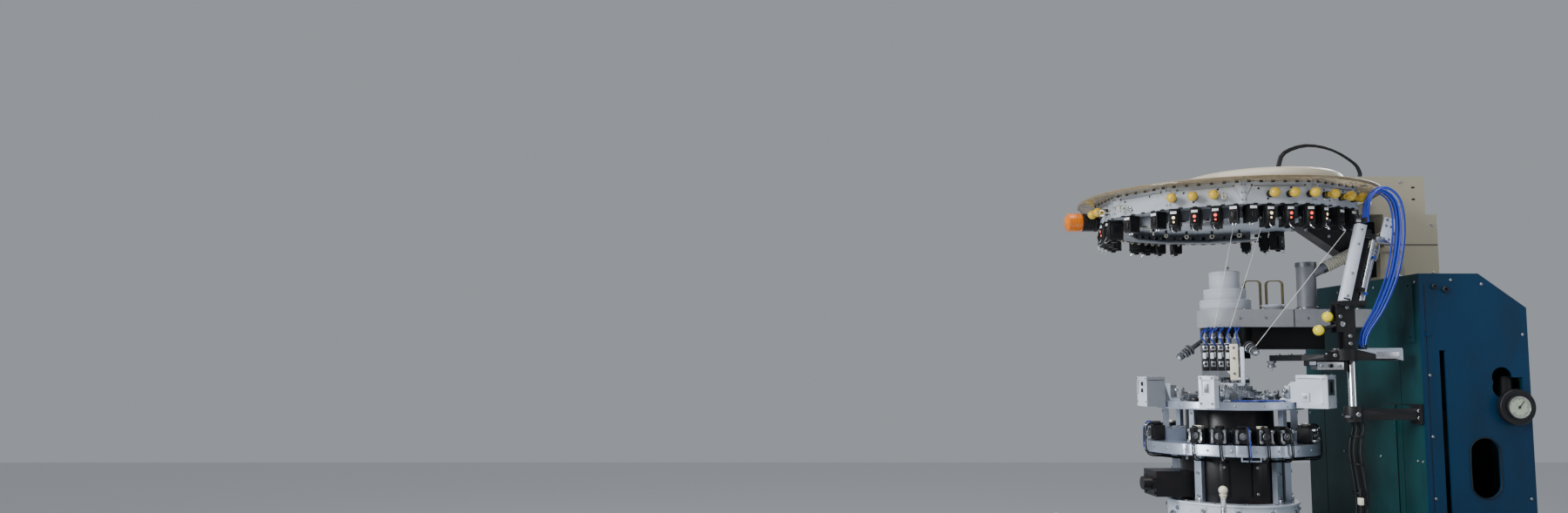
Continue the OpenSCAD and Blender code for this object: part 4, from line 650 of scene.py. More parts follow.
def make_lever():
    """Clamp lever with an ivory grip on its bright stem."""
    shape = Shape("chrome", "ivory", "dull_steel")
    low, high = corners("clamp_lever")
    grip_from, foot_to = high.z - 0.0335, low.z + 0.0165
    shape.copy_node("clamp_lever", lambda c, n: 1 if c.z > grip_from else 2 if c.z < foot_to else 0)
    shape.finish("lever_with_grip", "lever", "lever_metal", replaces=["clamp_lever"])
    at = around(-28.66, 170.9, DECK + 79)
    collar = Shape("chrome")
    for z in (0, 4, 8):
        collar.turned([(4.9, z), (6, z), (6.3, z + 1), (6, z + 2), (4.9, z + 2), (4.9, z)], 0, at, 24)
    collar.finish("lever_collars", "lever", "lever_metal")


def make_actuators():
    """White actuator boxes with cover plates, slots drawn as black blocks of painted shade, screws and clamp
    plates.
    """
    shape = Shape("white_enamel", "tray_grey", "black_paint")

    def rule(c, n):
        angle, r = polar(c)
        return int(abs(angle + 90) < 24 and n.x > 0.9 and r > 146)

    shape.copy_node("actuator_boxes", rule)
    add_edges(shape.finish("actuator_shells", slot="white_enamel", replaces=["actuator_boxes"]), 0.0011)
    trim = Shape("white_enamel", "black_paint", "screw_steel", "bright_steel", "blue_tube", "dull_steel")
    for i, (angle, (deep, wide, high)) in enumerate(zip(BOX_ANGLES, BOX_SIZES)):
        at = around(angle, 148, RING_UP - 12)
        face = deep - 2
        half = wide / 2
        if i == 2:
            trim.block((face - 0.5, -half + 7, 27), (face + 0.8, half - 7, high - 9), 5, 0.3, at)
            # painted shade: a black block stands for the shade in a slot
            trim.block((face, -5, 32), (face + 1.8, 5, 54), 1, 0.3, at)
        elif i == 1:
            # painted shade: black blocks stand for the shade in two slots
            for z in (30, 44):
                trim.block((face, -7, z), (face + 1.6, 3, z + 8), 1, 0.3, at)
        else:
            trim.block((face - 0.5, -half + 8, 28), (face + 1.2, half - 8, high - 11), 0, 0.8, at)
            trim.block((face + 1.0, -half + 10.5, 32), (face + 1.7, half - 10.5, high - 16), 5, 0.3, at)
        for y in (-half + 4, half - 4):
            for z in (10, high - 4):
                trim.screw(at @ shift(deep, y, z), 2.4, 2)
        # lid seam along both sides and screws on the top
        for s in (-1, 1):
            trim.block((3, s * half - 0.4, high - 8), (deep - 3, s * half + 0.4, high - 7), 1, 0, at)
        for x in (6, deep - 6):
            for y in (-half + 6, half - 6):
                turned = at @ shift(x, y, high) @ UPWARD
                trim.screw(turned, 2.2, 2)
        # clamp plate towards the needles with its knurled screw and side plate
        trim.block((-16, -half + 5, 12.2), (-12.2, half - 5, high - 18), 0, 0.8, at)
        trim.block((-34, -6, 20.3), (-16, 6, 30), 3, 0.8, at)
        trim.screw(at @ shift(-16, 0, 44) @ Matrix.Rotation(math.pi, 4, "Z"), 4, 2)
        trim.rod((-22, -half - 3, 36), (-22, half + 3, 36), 2.2, 3, at=at)
        for s in (-1, 1):
            trim.ball((-22, s * (half + 4), 36), 4.2, 3, at=at, rings=8)
            trim.block((-25, s * (half - 4) - 1.5, 20), (-12.2, s * (half - 4) + 1.5, 46), 5, 0.6, at)
        trim.block((10, -half - 3.2, 14), (26, -half, 32), 0, 1, at)
        trim.screw(at @ shift(18, -half - 3.2, 23) @ Matrix.Rotation(-math.pi / 2, 4, "Z"), 3.5, 2)
    trim.finish("actuator_plates", slot="white_enamel")


def make_cam_parts():
    """Small levers, cam blocks, springs and screws between the upper ring and the needles."""
    shape = Shape("bright_steel", "oily_black", "screw_steel", "white_enamel", "dull_steel", "blue_tube",
        "olive_brass")
    for k in range(18):
        angle = k * 20 + 3
        at = around(angle, 78, RING_UP + 0.4)
        tall = 8 + (k * 7 % 5) * 2
        shape.block((0, -8, 0), (18 + k * 5 % 4 * 3, 8, tall), (1, 0, 4)[k % 3], 0.7, at)
        shape.screw(at @ shift(8, 0, tall) @ UPWARD, 3.4, 2)
        if k % 2:
            shape.block((2, 5, tall), (24, 8, tall + 5), 0, 0.5, at)
            shape.rod((20, 6.5, tall + 2), (20, 6.5, tall + 13), 2, 2, at=at, sides=10)
        if k % 3 == 0:
            for n in range(6):
                shape.sleeve(2.6, 3.4, 0, 0.9, 2, at @ shift(14, -4, tall + 0.4 + n * 1.6), 12)
            shape.rod((14, -4, tall), (14, -4, tall + 12), 1.6, 0, at=at, sides=10)
    for k in range(36):
        at = around(k * 10 + 5, 60, RING_UP + 13)
        shape.block((0, -1.6, 0.2), (8, 1.6, 3.4), 0 if k % 2 else 4, 0.3, at)
    for k in range(10):
        at = around(k * 36 + 11, 112, RING_UP + 0.3)
        shape.block((-6, -7, 0), (8, 7, 4), (1, 3)[k % 2], 0.6, at)
        shape.screw(at @ shift(1, 0, 4) @ UPWARD, 3, 2)
    for start, turn, r in ((-20, 62, 122), (-14, 50, 127), (96, 44, 124)):
        path = []
        for n in range(9):
            wave = r + 4 * math.sin(n * 1.3)
            path.append(on_circle(start + turn * n / 8, wave, RING_UP + 2.3 + (n % 2) * 0.6))
        shape.wire(path, 1.7, 5, at=HERE)
    shape.finish("cam_levers_and_springs", slot="needle_steel")


def finger_frame():
    """The frame of the finger group, turned towards the front about the knitting axis."""
    return HERE @ Matrix.Rotation(math.radians(-25), 4, "Z")


def make_fingers():
    """Finger block details: cylinder caps, hex fittings, coil rings and white guides."""
    shape = Shape("bright_steel", "oily_black", "screw_steel", "white_enamel", "ivory", "dull_steel", "blue_tube")
    turned = finger_frame()
    for i in range(5):
        base = turned @ shift(74, -39 + i * 15, DECK + 424)
        shape.sleeve(5.6, 6.6, 2, 5, 5, base, 6)
        shape.sleeve(5.6, 6.3, 10, 13.6, 0, base, 24)
        shape.sleeve(3, 4.6, 16.4, 19.4, 2, base, 6)
        shape.block((12.05, -6.9, -58), (13.4, 6.9, -2), 1, 0.5, base)
        shape.block((13.4, -5.2, -15), (17, 5.2, -5), 0, 0.7, base)
        shape.block((13.4, -5.6, -33), (16.2, 1.2, -20), 3, 0.7, base)
        shape.block((13.4, 2.4, -30), (15.4, 5.8, -18), 5, 0.5, base)
        shape.block((13.4, -4.6, -50), (15.8, 4.6, -38), (0, 5)[i % 2], 0.7, base)
        bow = 4 - i
        shape.wire(((15.2, 3, -5.4), (16.4, 3 - bow, 4), (17, -2 * bow, 15), (13, 4 - 2 * bow, 26), (4, 8, 34.4)),
            1.5, 6, 8, 5, at=base)
        shape.screw(base @ shift(17, 0, -10), 2.4, 1)
        shape.screw(base @ shift(15.8, 0, -44), 2.6, 1)
        shape.block((-18, -3.6, 0.2), (-8, 3.6, 9), (3, 0)[i % 2], 0.6, base)
        shape.rod((8, 0, -36), (8, 0, -13), 1.9, 2, at=base, sides=12)
        shape.rod((-13, 0, 9), (-13, 0, 17), 2.3, 2, at=base, sides=12)
        shape.ball((-13, 0, 18), 3.4, 4, at=base, rings=8)
    at = turned @ shift(86, 12, DECK + 352)
    shape.block((3.2, -4, -6), (8, 12, 70), 4, 1.2, at)
    shape.block((3.2, 16, -12), (7, 24, 64), 3, 1.2, at)
    for z in (8, 40, 62):
        shape.screw(at @ shift(8, 4, z), 2.6, 2)
    shape.finish("finger_fittings", slot="needle_steel")
    coils = Shape("dull_steel", "chrome", "oily_black")
    for start, end in (((30, -38, 438), (78, -92, 394)), ((40, 30, 430), (92, 58, 404))):
        a = turned @ Vector(mm(start[0], start[1], DECK + start[2]))
        b = turned @ Vector(mm(end[0], end[1], DECK + end[2]))
        length = (b - a).length * 1000
        at = Matrix.Translation(a) @ facing(b - a)
        for n in range(5):
            z = length - 34 + n * 7
            r = 11 - n
            coils.turned([(r, z + 1), (r + 1.2, z + 1.4), (r + 1.2, z + 3), (r, z + 3.4), (r, z + 1)], n % 2, at,
                32)
        coils.turned([(0, length + 3.4), (3, length + 3.4), (5, length + 2.6), (5.6, length + 2), (0, length + 2)],
            1, at, 24)
    coils.finish("coil_rings", slot="needle_steel")


# YARN DISC

LID = 1800
BAND_LOW = LID - 45
FLAT = 270 * math.cos(math.radians(15))
KNOB_GROUPS = ((-43, 3), (-4, 4), (33, 2), (-93, 2), (-133, 3), (-178, 4), (128, 3))
KNOB_ANGLES = [start + i * 8.5 for start, count in KNOB_GROUPS for i in range(count)]
BLANK_ANGLES = (-68, -53, -19, -11)
WINDOWS = {0: "warm", 1: "red", 2: "red", 3: "warm", 4: "red", 5: "red", 6: "warm", 9: "red", 13: "warm", 15: "red"}
DOME_Y = 82
DOME_TOP = 1850
EYELET_R = 150
LID_RIM_R = 305
BOOM_GAP = 40.3


def flat_frame(angle, z, out=0.0):
    """A frame on the twelve-sided band's flat at an angle, with local X out of the face."""
    face = 30 * round(angle / 30)
    a = math.radians(face)
    slide = FLAT * math.tan(math.radians(angle - face))
    normal = Vector((math.cos(a), math.sin(a), 0))
    side = Vector((-math.sin(a), math.cos(a), 0))
    return place(AXIS + (normal * (FLAT + out) + side * slide + Vector((0, 0, z))) / 1000, normal)


def make_knobs():
    """Ochre ball knobs on stems with dark collars and springs."""
    shape = Shape("ochre_ball", "black_rubber", "screw_steel")
    for angle in KNOB_ANGLES:
        at = flat_frame(angle, BAND_LOW + 19)
        axis = at @ OUTWARD
        shape.turned([(0, 4), (3, 4), (6.4, 4), (7, 3.4), (7, 0.2), (0, 0.2)], 1, axis, 28)
        shape.turned([(0, 15), (3.6, 15), (4.4, 14), (6, 6), (6.2, 4), (0, 4)], 0, axis, 24)
        shape.rod((4, 0, 0), (20, 0, 0), 3, 0, at=at, sides=16)
        shape.ball((22, 0, 0), 10, 0, (1, 0.98, 0.98), at=at, rings=12)
        shape.sleeve(3.2, 4.6, 14.4, 15.6, 1, axis, 20)
        for n in range(3):
            shape.turned([(6.2, 4.6 + n * 2.4), (7.2, 4.8 + n * 2.4), (6.2, 5.6 + n * 2.4), (6.2, 4.6 + n * 2.4)],
                1, axis, 20)
    shape.finish("knobs_on_stems", slot="yellow_plastic", replaces=["tension_knobs"])


def make_sensors():
    """Dark thread sensors with lit windows, pale strips, guide wires and plugs."""
    shape = Shape("black_rubber", "white_strip", "warm_window", "red_window", "bright_steel", "oily_black", "ivory")
    shape.copy_node("sensor_bodies")
    for i, angle in enumerate(KNOB_ANGLES):
        at = flat_frame(angle, BAND_LOW)
        shape.block((2.6, -6, -11), (3.8, 6, -6), 1, 0.3, at)
        shape.block((2.4, -6.8, -36.6), (4.4, 6.8, -33), 5, 0.5, at)
        shape.turned([(3.3, 5.4), (4.6, 5.4), (5, 5), (5, 2.8), (3.3, 2.8), (3.3, 5.4)], 5,
            at @ shift(0, 0, -19) @ OUTWARD, 20)
        lit = WINDOWS.get(i)
        if lit:
            shape.turned([(0, 5.6), (2.2, 5.4), (3.2, 4.9), (3.2, 4), (0, 4)], 2 if lit == "warm" else 3,
                at @ shift(0, 0, -19) @ OUTWARD, 20)
            shape.block((2.8, -1.6, -29.5), (4.2, 1.6, -26), 2 if lit == "warm" else 3, 0.3, at)
        shape.block((-26, -11, -38), (-6, -8.8, -12), 5, 0.6, at)
        shape.block((-30, 8.8, -34), (-4, 11.4, -8), 5, 0.6, at)
        shape.screw(at @ shift(-16, -11, -25) @ Matrix.Rotation(-math.pi / 2, 4, "Z"), 2.6, 4)
        shape.wire(((2, -3, -36), (5, -4, -42), (8, -1, -47), (6, 3, -49), (2, 2, -46), (-4, 0, -42)), 0.9, 4, 6,
            at=at)
        shape.block((-18, -3, -47), (-8, 3, -42.8), 0, 0.6, at)
    for angle in BLANK_ANGLES:
        at = flat_frame(angle, BAND_LOW)
        shape.block((-1.2, -6.4, -9), (0.8, 6.4, -3.6), 1, 0.3, at)
        shape.block((-1.2, -4, -29), (1.4, 4, -14), 5, 0.6, at)
        for y in (-3, 3):
            shape.rod((-12, y, -34.5), (-12, y, -40), 1.6, 4, at=at, sides=10)
    shape.finish("sensors_with_windows", slot="sensor_black", replaces=["sensor_bodies"])


def make_band_parts():
    """Clips, eyelets, screws and seams of the band and of the lower tray."""
    shape = Shape("black_rubber", "screw_steel", "band_grey", "chrome", "ivory", "oily_black", "black_paint")
    tray_flat = 230 * math.cos(math.radians(15))
    for face in range(-5, 7):
        angle = face * 30
        a = math.radians(angle)
        normal = Vector((math.cos(a), math.sin(a), 0))
        at = place(AXIS + normal * FLAT / 1000 + Vector((0, 0, BAND_LOW / 1000)), normal)
        if angle == 90:
            continue
        for y in (-58, -34, -11, 13, 36, 59):
            shape.block((-3, y - 3.4, 42.4), (1.4, y + 3.4, 45.3), 6, 0.4, at)
            shape.rod((-1.5, y + 8, 44.4), (1.6, y + 8, 44.4), 1.6, 1, at=at, sides=10)
        for y in (-67, 67):
            shape.block((-1.4, y - 2.4, 1), (0.7, y + 2.4, 44), 2, 0.4, at)
            for z in (8, 22, 37):
                shape.screw(at @ shift(0.7, y, z), 1.8, 1)
        for y, z in ((-40, 30), (24, 32), (-22, 10)):
            shape.rod((-1, y, z), (0.35, y, z), 2.1, 5, at=at, sides=14)
        for y in (-47, -20, 6, 32, 55):
            shape.block((-4, y - 4, -1.2), (2.2, y + 4, 1.4), 6, 0.4, at)
        tray = place(AXIS + normal * tray_flat / 1000 + Vector((0, 0, (BAND_LOW - 22) / 1000)), normal)
        if not 40 < angle < 140:
            for y in (-48, -24, 0, 24, 48):
                shape.block((-4.4, y - 4, 10.5), (-2.9, y + 4, 17), 6, 0.4, tray)
                shape.rod((-4.8, y + 8, 13.5), (-2.8, y + 8, 13.5), 1.8, 4, at=tray, sides=10)
                shape.block((-3, y - 5, -1.4), (1.4, y + 5, 1), 6, 0.4, tray)
                shape.wire(((-6, y + 12, 1), (-5, y + 12, -3), (-2, y + 13, -4.4), (0.8, y + 13, -3),
                    (0.6, y + 13, 1)), 0.7, 4, 6, at=tray)
            for y in (-56, 56):
                shape.screw(tray @ shift(0, y, 11), 2.6, 1, "slot")
    shape.finish("band_clips_and_screws", slot="light_grey")
    eyes = Shape("chrome", "ivory", "oily_black")
    for angle in (-69, -80, -66, -22, 22, 50, -110, 166, -152):
        at = flat_frame(angle, BAND_LOW + 14)
        eyes.rod((-1, 0, 0), (13, 0, 0), 2.2, 0, at=at, sides=14)
        eyes.turned([(2.4, 2), (5.6, 2), (6, 1.4), (6, 0.2), (2.4, 0.2), (2.4, 2)], 0, at @ OUTWARD, 24)
        eyes.ring(6.2, 1.5, 0, at @ shift(19, 0, 0) @ facing((0.5, 0.86, 0)), 32, 8)
        eyes.sleeve(4.4, 5.4, 1.4, -1.4, 1, at @ shift(19, 0, 0) @ facing((0.5, 0.86, 0)), 24)
    for k in range(16):
        angle = k * 22.5 + 8
        if 50 < angle % 360 < 130:
            continue
        spin = math.radians(angle)
        at = stand(*on_circle(angle, EYELET_R, BAND_LOW - 0.5))
        eyes.rod((0, 0, 0.6), (0, 0, -8), 2.8, 2, at=at, sides=12)
        eyes.ring(4.2, 1.1, 1, at @ shift(0, 0, -12) @ facing((math.cos(spin), math.sin(spin), 0)), 24, 8)
    eyes.finish("yarn_eyelets", slot="needle_steel")


def make_lid_rim():
    """Rolled brownish rim of the lid, its hold-down buttons and the dome's trim."""
    shape = Shape("rim_brown", "screw_steel", "black_rubber", "dome_beige")
    start = math.asin(BOOM_GAP / LID_RIM_R)
    profile = ((305.2, 1801.5), (306.6, 1803.4), (305.6, 1804.4), (303.2, 1804.2), (302.8, 1801.4), (304, 1800.2))
    verts = [shape.bm.verts.new(mm(r, 0, z)) for r, z in profile]
    edges = [shape.bm.edges.new((verts[i], verts[(i + 1) % len(verts)])) for i in range(len(verts))]
    turn = Matrix.Rotation(math.pi / 2 + start, 4, "Z")
    bmesh.ops.transform(shape.bm, matrix=turn, verts=verts)
    shape.bm.faces.new(verts)
    made = bmesh.ops.spin(
        shape.bm, geom=edges, cent=(0, 0, 0), axis=(0, 0, 1), dvec=(0, 0, 0), angle=math.tau - 2 * start,
        steps=140, use_merge=False, use_duplicate=False)
    last = [g for g in made["geom_last"] if isinstance(g, bmesh.types.BMEdge)]
    bmesh.ops.contextual_create(shape.bm, geom=last)
    bmesh.ops.transform(shape.bm, matrix=HERE, verts=shape.bm.verts)
    for k in range(12):
        angle = k * 30 + 15
        if angle % 360 in (75, 105):
            continue
        at = around(angle, 284, LID + 4)
        shape.turned([(0, 3), (4, 3), (6, 2), (7, 0), (0, 0)], 1, at, 20)
    dome = stand(0, DOME_Y, LID + 4)
    shape.turned([(170.4, 0.2), (172.8, 0.2), (172.8, 4), (170.4, 5), (170.4, 0.2)], 3, dome, 96)
    grommet = stand(96, DOME_Y, DOME_TOP)
    shape.turned([(11.4, 0.2), (15, 0.2), (14, 3), (11.6, 5.6), (11.4, 0.2)], 2, grommet, 32)
    for angle in (20, 140, 215, 300):
        at = shift(0, DOME_Y, 0) @ stand(*on_circle(angle, 120, DOME_TOP))
        shape.turned([(0, 2), (3, 2), (4.4, 1), (4.6, 0), (0, 0)], 1, at, 16)
    shape.finish("lid_rim_and_dome_trim", slot="lid_clear")


def make_beacon():
    """Amber lens with ribs on its black threaded base."""
    shape = Shape("amber_lens", "black_rubber", "oily_black")
    at = place(spot(-46, -FLAT, BAND_LOW + 6), (0, -1, 0)) @ OUTWARD
    shape.turned([(0, 37), (17, 37), (19, 35.5), (19, 9), (20.5, 8), (20.5, 3), (19, 0.3), (0, 0.3)], 1, at, 48)
    for z in (14, 20, 26, 32):
        shape.turned([(18.8, z), (20, z + 0.6), (20, z + 2.2), (18.8, z + 2.8), (18.8, z)], 2, at, 48)
    lens = [(0, 75), (7, 74.6), (12.5, 73), (16.2, 70)]
    for n in range(8):
        z = 68 - n * 3.8
        lens += [(20.8, z), (20.8, z - 1.7), (19.9, z - 2.2), (19.9, z - 3.3)]
    lens += [(19.4, 37.2), (0, 37.2)]
    shape.turned(lens, 0, at, 48)
    shape.finish("beacon_lens_and_base", slot="amber_lens", replaces=["beacon"])


def make_boom_parts():
    """Seams, bolts and plates of the boom, and the beige standpipe."""
    shape = Shape("boom_beige", "screw_steel", "oily_black", "dull_steel", "black_paint")
    for s in (-1, 1):
        for y, z in ((262, 1836), (262, 1786), (372, 1786), (372, 1838), (340, 1640), (436, 1640), (340, 1745),
                     (436, 1745)):
            at = place(spot(s * 40, y, z), (s, 0, 0))
            shape.screw(at, 3.6, 1, "slot")
        at = place(spot(s * 40, 0, 0), (s, 0, 0))
        shape.block((-0.4, s * 333 + (0 if s > 0 else -115), 1700), (0.7, s * 333 + (114 if s > 0 else 0), 1701.6),
            2, 0, at)
    for x in (-46, 46):
        for y in (330, 448):
            at = stand(x, y, 1627) @ UPWARD
            shape.screw(at, 5.2, 1)
    pipe = stand(78, 324, 1621)
    for z in (0.2, 58):
        shape.turned([(22.2, z), (24, z), (24.4, z + 1), (24.4, z + 6), (24, z + 7), (22.2, z + 7), (22.2, z)], 0,
            pipe, 40)
    shape.turned([(0, 70.4), (9, 70.4), (9, 69.2), (0, 69.2)], 2, pipe, 32)
    shape.block((20, -4, 20), (30, 4, 44), 3, 0.8, pipe)
    rod = stand(108, 318, 1621)
    shape.turned([(3.6, 0.2), (8, 0.2), (8, 6), (6, 8), (3.6, 8), (3.6, 0.2)], 1, rod, 24)
    shape.turned([(0, 100), (3, 100), (5, 98), (5, 92), (3.6, 91), (0, 91)], 1, rod, 20)
    for y in (180, 230, 300):
        for z in (1748, 1742 - (y - 168) * 0.3):
            at = place(spot(6, y, z), (1, 0, 0))
            shape.screw(at, 3.4, 1)
    shape.finish("boom_bolts_and_pipe_collars", slot="boom_beige")


SLAB_LOW = DECK + 459
SLAB_TOP = SLAB_LOW + 38


def make_slab_parts():
    """Dish, seams, screws and clamps on the cover slab and its caps."""
    top = SLAB_TOP
    shape = Shape("cap_grey", "screw_steel", "white_enamel", "black_paint", "olive_brass", "dull_steel",
        "slab_grey")
    for y in (20, 60, 140, 210, 262):
        for s in (-1, 1):
            at = stand(s * 51, y, top) @ UPWARD
            shape.screw(at, 3.6, 1)
    dish = stand(34, 88, top + 4)
    shape.turned([(0, 0.8), (15, 1.2), (21, 4), (24.6, 6.2), (25.4, 5.8), (22, 2.2), (17, 0.1), (0, 0.1)], 2, dish,
        48)
    for y in (70, 119):
        for s in (-1, 1):
            foot = spot(-21.5, y + s * 18, top)
            shape.block((-6, -4.5, 0.1), (6, 4.5, 2.2), 4, 0.5, Matrix.Translation(foot + Vector(mm(0, s * 5, 0))))
            at = Matrix.Translation(foot + Vector(mm(0, s * 6, 2.2))) @ UPWARD
            shape.screw(at, 2.6, 1)
    cap = stand(0, 0, top)
    for r, z in ((52.2, 2), (52.2, 16), (43.6, 40), (31.6, 76)):
        shape.turned([(r - 0.6, z), (r + 0.5, z + 0.5), (r + 0.5, z + 1.6), (r - 0.6, z + 2.1), (r - 0.6, z)], 0,
            cap, 64)
    shape.rod((10, 4, 84), (10, 4, 92), 1.6, 5, at=cap, sides=10)
    shape.ball((10, 4, 93), 2.8, 5, at=cap, rings=8)
    foot = stand(0, 180, top)
    shape.turned([(20.3, 4), (23.6, 4), (23, 7), (20.3, 8), (20.3, 4)], 5, foot, 48)
    shape.sleeve(20.3, 21.6, 96, 105.6, 5, foot, 48)
    for y in (250, 275):
        shape.block((-30, y - 3, 0.2), (30, y + 3, 3), 6, 0.6, stand(0, 0, top))
    for y in (4, 60, 150):
        at = place(spot(59, y, SLAB_LOW + 19), (1, 0, 0))
        shape.screw(at, 2.8, 1, "slot")
    shape.block((58.8, 120, SLAB_LOW + 0.5), (59.7, 121.2, SLAB_TOP - 0.4), 3, 0, HERE)
    shape.finish("slab_screws_and_dish", slot="light_grey")


# CLAMPED ARM AND UPRIGHT

POST = spot(206, 157, 0)
POST_HALF = 0.0077
BEAM_TOP = 1471


def make_arm():
    """Bright post in its black clamp, dark arm plate with its pale box bar, and the clamp screws."""
    shape = Shape("chrome", "black_paint")
    shape.copy_node("arm_post", lambda c, n: int(polar(c)[0] > 0 and not (
        abs((c - POST).x) < POST_HALF and abs((c - POST).y) < POST_HALF)))
    add_edges(shape.finish("post_and_clamp", slot="lever_metal", replaces=["arm_post"]), 0.0008)
    shape = Shape("black_paint", "ring_alu", "dull_steel")

    def rule(c, n):
        p = (c - AXIS) * 1000
        if p.y > 196 and abs(p.x - 206) < 13:
            return 1
        return 2 if p.z < 1448.8 else 0

    shape.copy_node("arm_beam", rule)
    add_edges(shape.finish("arm_plate_and_bar", slot="black_frame", replaces=["arm_beam"]), 0.0009)
    trim = Shape("screw_steel", "black_paint", "ring_alu", "white_enamel", "oily_black", "bright_steel")
    for z in (1336, 1350):
        for s in (-1, 1):
            trim.screw(place(spot(206 + s * 12, 279, z), (s, 0, 0)), 3.5, 0)
    at = place(spot(206, 140, 1343), (0, -1, 0))
    trim.screw(place(spot(223, 157, 1343), (1, 0, 0)), 4.5, 0)
    trim.rod((0, 17, -4), (9, 17, -4), 2.6, 0, at=at, sides=12)
    for z in (1328.2, 1354):
        trim.sleeve(7.6, 10, z, z + 4, 1, Matrix.Translation(POST), 32)
    trim.block((194, 186, BEAM_TOP - 21), (194.2, 252, BEAM_TOP - 2), 5, 0, HERE)
    trim.block((195, 184, BEAM_TOP + 0.1), (217, 254, BEAM_TOP + 2.6), 2, 0.6, HERE)
    trim.block((217.6, 200, BEAM_TOP - 18), (218.6, 246, BEAM_TOP - 5), 5, 0.3, HERE)
    for x, y in ((200, 150), (212, 150), (190, 118), (150, 92), (128, 76), (110, 60)):
        at = stand(x, y, BEAM_TOP if x > 195 else 1461) @ UPWARD
        trim.screw(at, 3.8, 0)
    # dark bracket under the plate, with its slotted ear and links
    trim.block((196, 104, 1428), (215, 146, 1448.6), 1, 1.5, HERE)
    trim.block((198, 66, 1438), (213, 104.2, 1448.6), 1, 1.5, HERE)
    trim.block((215, 84, 1431), (218, 136, 1446), 5, 0.6, HERE)
    trim.block((213, 70, 1440), (216, 82, 1447), 2, 0.6, HERE)
    for y, r in ((92, 3.2), (110, 4.2), (128, 3.2)):
        trim.screw(place(spot(218, y, 1438.5), (1, 0, 0)), r, 0 if r < 4 else 4)
    trim.block((213, 108, 1449.5), (219.5, 150, 1468), 4, 1.2, HERE)
    trim.screw(place(spot(219.5, 118, 1459), (1, 0, 0)), 3.8, 0)
    trim.screw(place(spot(219.5, 138, 1459), (1, 0, 0)), 3.8, 5)
    disc = stand(206, 128, BEAM_TOP)
    trim.turned([(0, 2), (6, 2), (6.6, 1.4), (6.6, 0.1), (0, 0.1)], 0, disc, 24)
    nose = stand(92, 53, 1449)
    trim.sleeve(6.1, 8, -13, -9, 0, nose, 28)
    trim.sleeve(6.1, 9, -4, -0.3, 5, nose, 6)
    trim.rod((0, 0, -14), (0, 0, -22), 1.6, 5, at=nose, sides=10)
    trim.finish("arm_screws_and_plate", slot="black_frame")


def make_slant():
    """Slanting white bar, its bright cylinder, L bracket and the rods, springs and joints beside it."""
    shape = Shape("white_enamel", "black_paint", "bright_steel", "screw_steel")
    slant = math.atan(40 / 156)
    foot = stand(216, 140, 1563) @ Matrix.Rotation(-slant, 4, "X")
    inverse = foot.inverted()

    def rule(c, n):
        p = inverse @ c * 1000
        turn = inverse.to_3x3() @ n
        if p.z < -0.5 or (c.z * 1000 < 1568 and p.z < 4):
            return 1
        if 25.2 < p.y < 43 and p.z < 146:
            return 2
        if 8.2 < p.y < 22.5 and p.z < 156:
            return 1
        if abs(turn.y) > 0.9 and p.y < 9 and p.z < 162:
            return 1 if turn.y > 0 else 0
        return 0

    shape.copy_node("slant_arm", rule)
    add_edges(shape.finish("slant_bar_and_bracket", slot="white_enamel", replaces=["slant_arm"]), 0.0009)
    trim = Shape("bright_steel", "screw_steel", "black_paint", "white_enamel", "blue_tube", "ring_alu")
    for z in (1, 108, 116):
        trim.turned([(8.1, z), (9.6, z + 0.5), (9.6, z + 3.5), (8.1, z + 4), (8.1, z)], 2 if z < 5 else 1,
            foot @ shift(0, 34, 0), 28)
    trim.rod((0, 34, 121.5), (0, 34, 127), 5.8, 1, at=foot, sides=6)
    for z in (22, 96):
        trim.block((-8, 30, z), (-5, 38, z + 12), 2, 0.6, foot)
        trim.turned([(0, 7), (2.6, 7), (3.2, 6), (3.2, 0), (0, 0)], 4, foot @ shift(8, 34, z + 5) @ OUTWARD, 16)
    for z in (14, 60, 120, 150):
        trim.screw(place(foot @ Vector(mm(13, -0.5, z)), foot.to_3x3() @ Vector((1, 0, 0))), 2.6, 1)
    trim.block((12.9, -7, 6), (13.5, 6.5, 9), 2, 0, foot)
    for y in (46, 56):
        for z in (144, 170, 182):
            trim.screw(place(foot @ Vector(mm(10, y, z)), foot.to_3x3() @ Vector((1, 0, 0))), 2.4, 1)
    trim.rod((-8, 50, 100), (-8, 50, 150), 1.8, 0, at=foot, sides=12)
    for n in range(9):
        z = 104 + n * 3
        trim.sleeve(2.6, 3.5, z, z + 1.4, 0, foot @ shift(-8, 50, 0), 14)
    trim.rod((-8, 50, 148), (-8, 50, 156), 4, 2, at=foot, sides=16)
    trim.rod((16, 24, 30), (16, 24, 140), 2.8, 0, at=foot, sides=14)
    for z in (32, 138):
        trim.block((6, 20, z - 4), (19, 28, z + 4), 2, 0.8, foot)
    for s in (-1, 1):
        for y, z in ((14, 1482), (14, 1497), (10, 1554), (-4, 1536)):
            trim.screw(place(spot(206 + s * 13, 136 + y, z), (s, 0, 0)), 3.6, 1)
    trim.finish("slant_screws_and_springs", slot="white_enamel")


def make_trip():
    """Black knuckle with two bright yellow ball knobs."""
    shape = Shape("lemon_ball", "black_paint", "screw_steel")
    knobs = (spot(206, 114, 1536), spot(206, 95, 1509))

    def rule(c, n):
        return 0 if min((c - k).length for k in knobs) < 0.0107 else 1

    shape.copy_node("trip_lever", rule)
    pin = spot(206, 136, 1521)
    for s in (-1, 1):
        at = place(pin + Vector(mm(s * 13.3, 0, 0)), (s, 0, 0)) @ OUTWARD
        shape.turned([(0, 2.4), (4, 2.4), (5, 1.6), (5, 0), (0, 0)], 2, at, 24)
    for knob in knobs:
        out = (pin - knob).normalized()
        shape.turned([(4.1, 9.6), (6, 9.8), (6.6, 11.4), (5.6, 13), (4.1, 13.4), (4.1, 9.6)], 1,
            Matrix.Translation(knob) @ facing(out), 24)
    shape.finish("trip_knuckle_and_balls", "trip", "yellow_plastic", replaces=["trip_lever"])


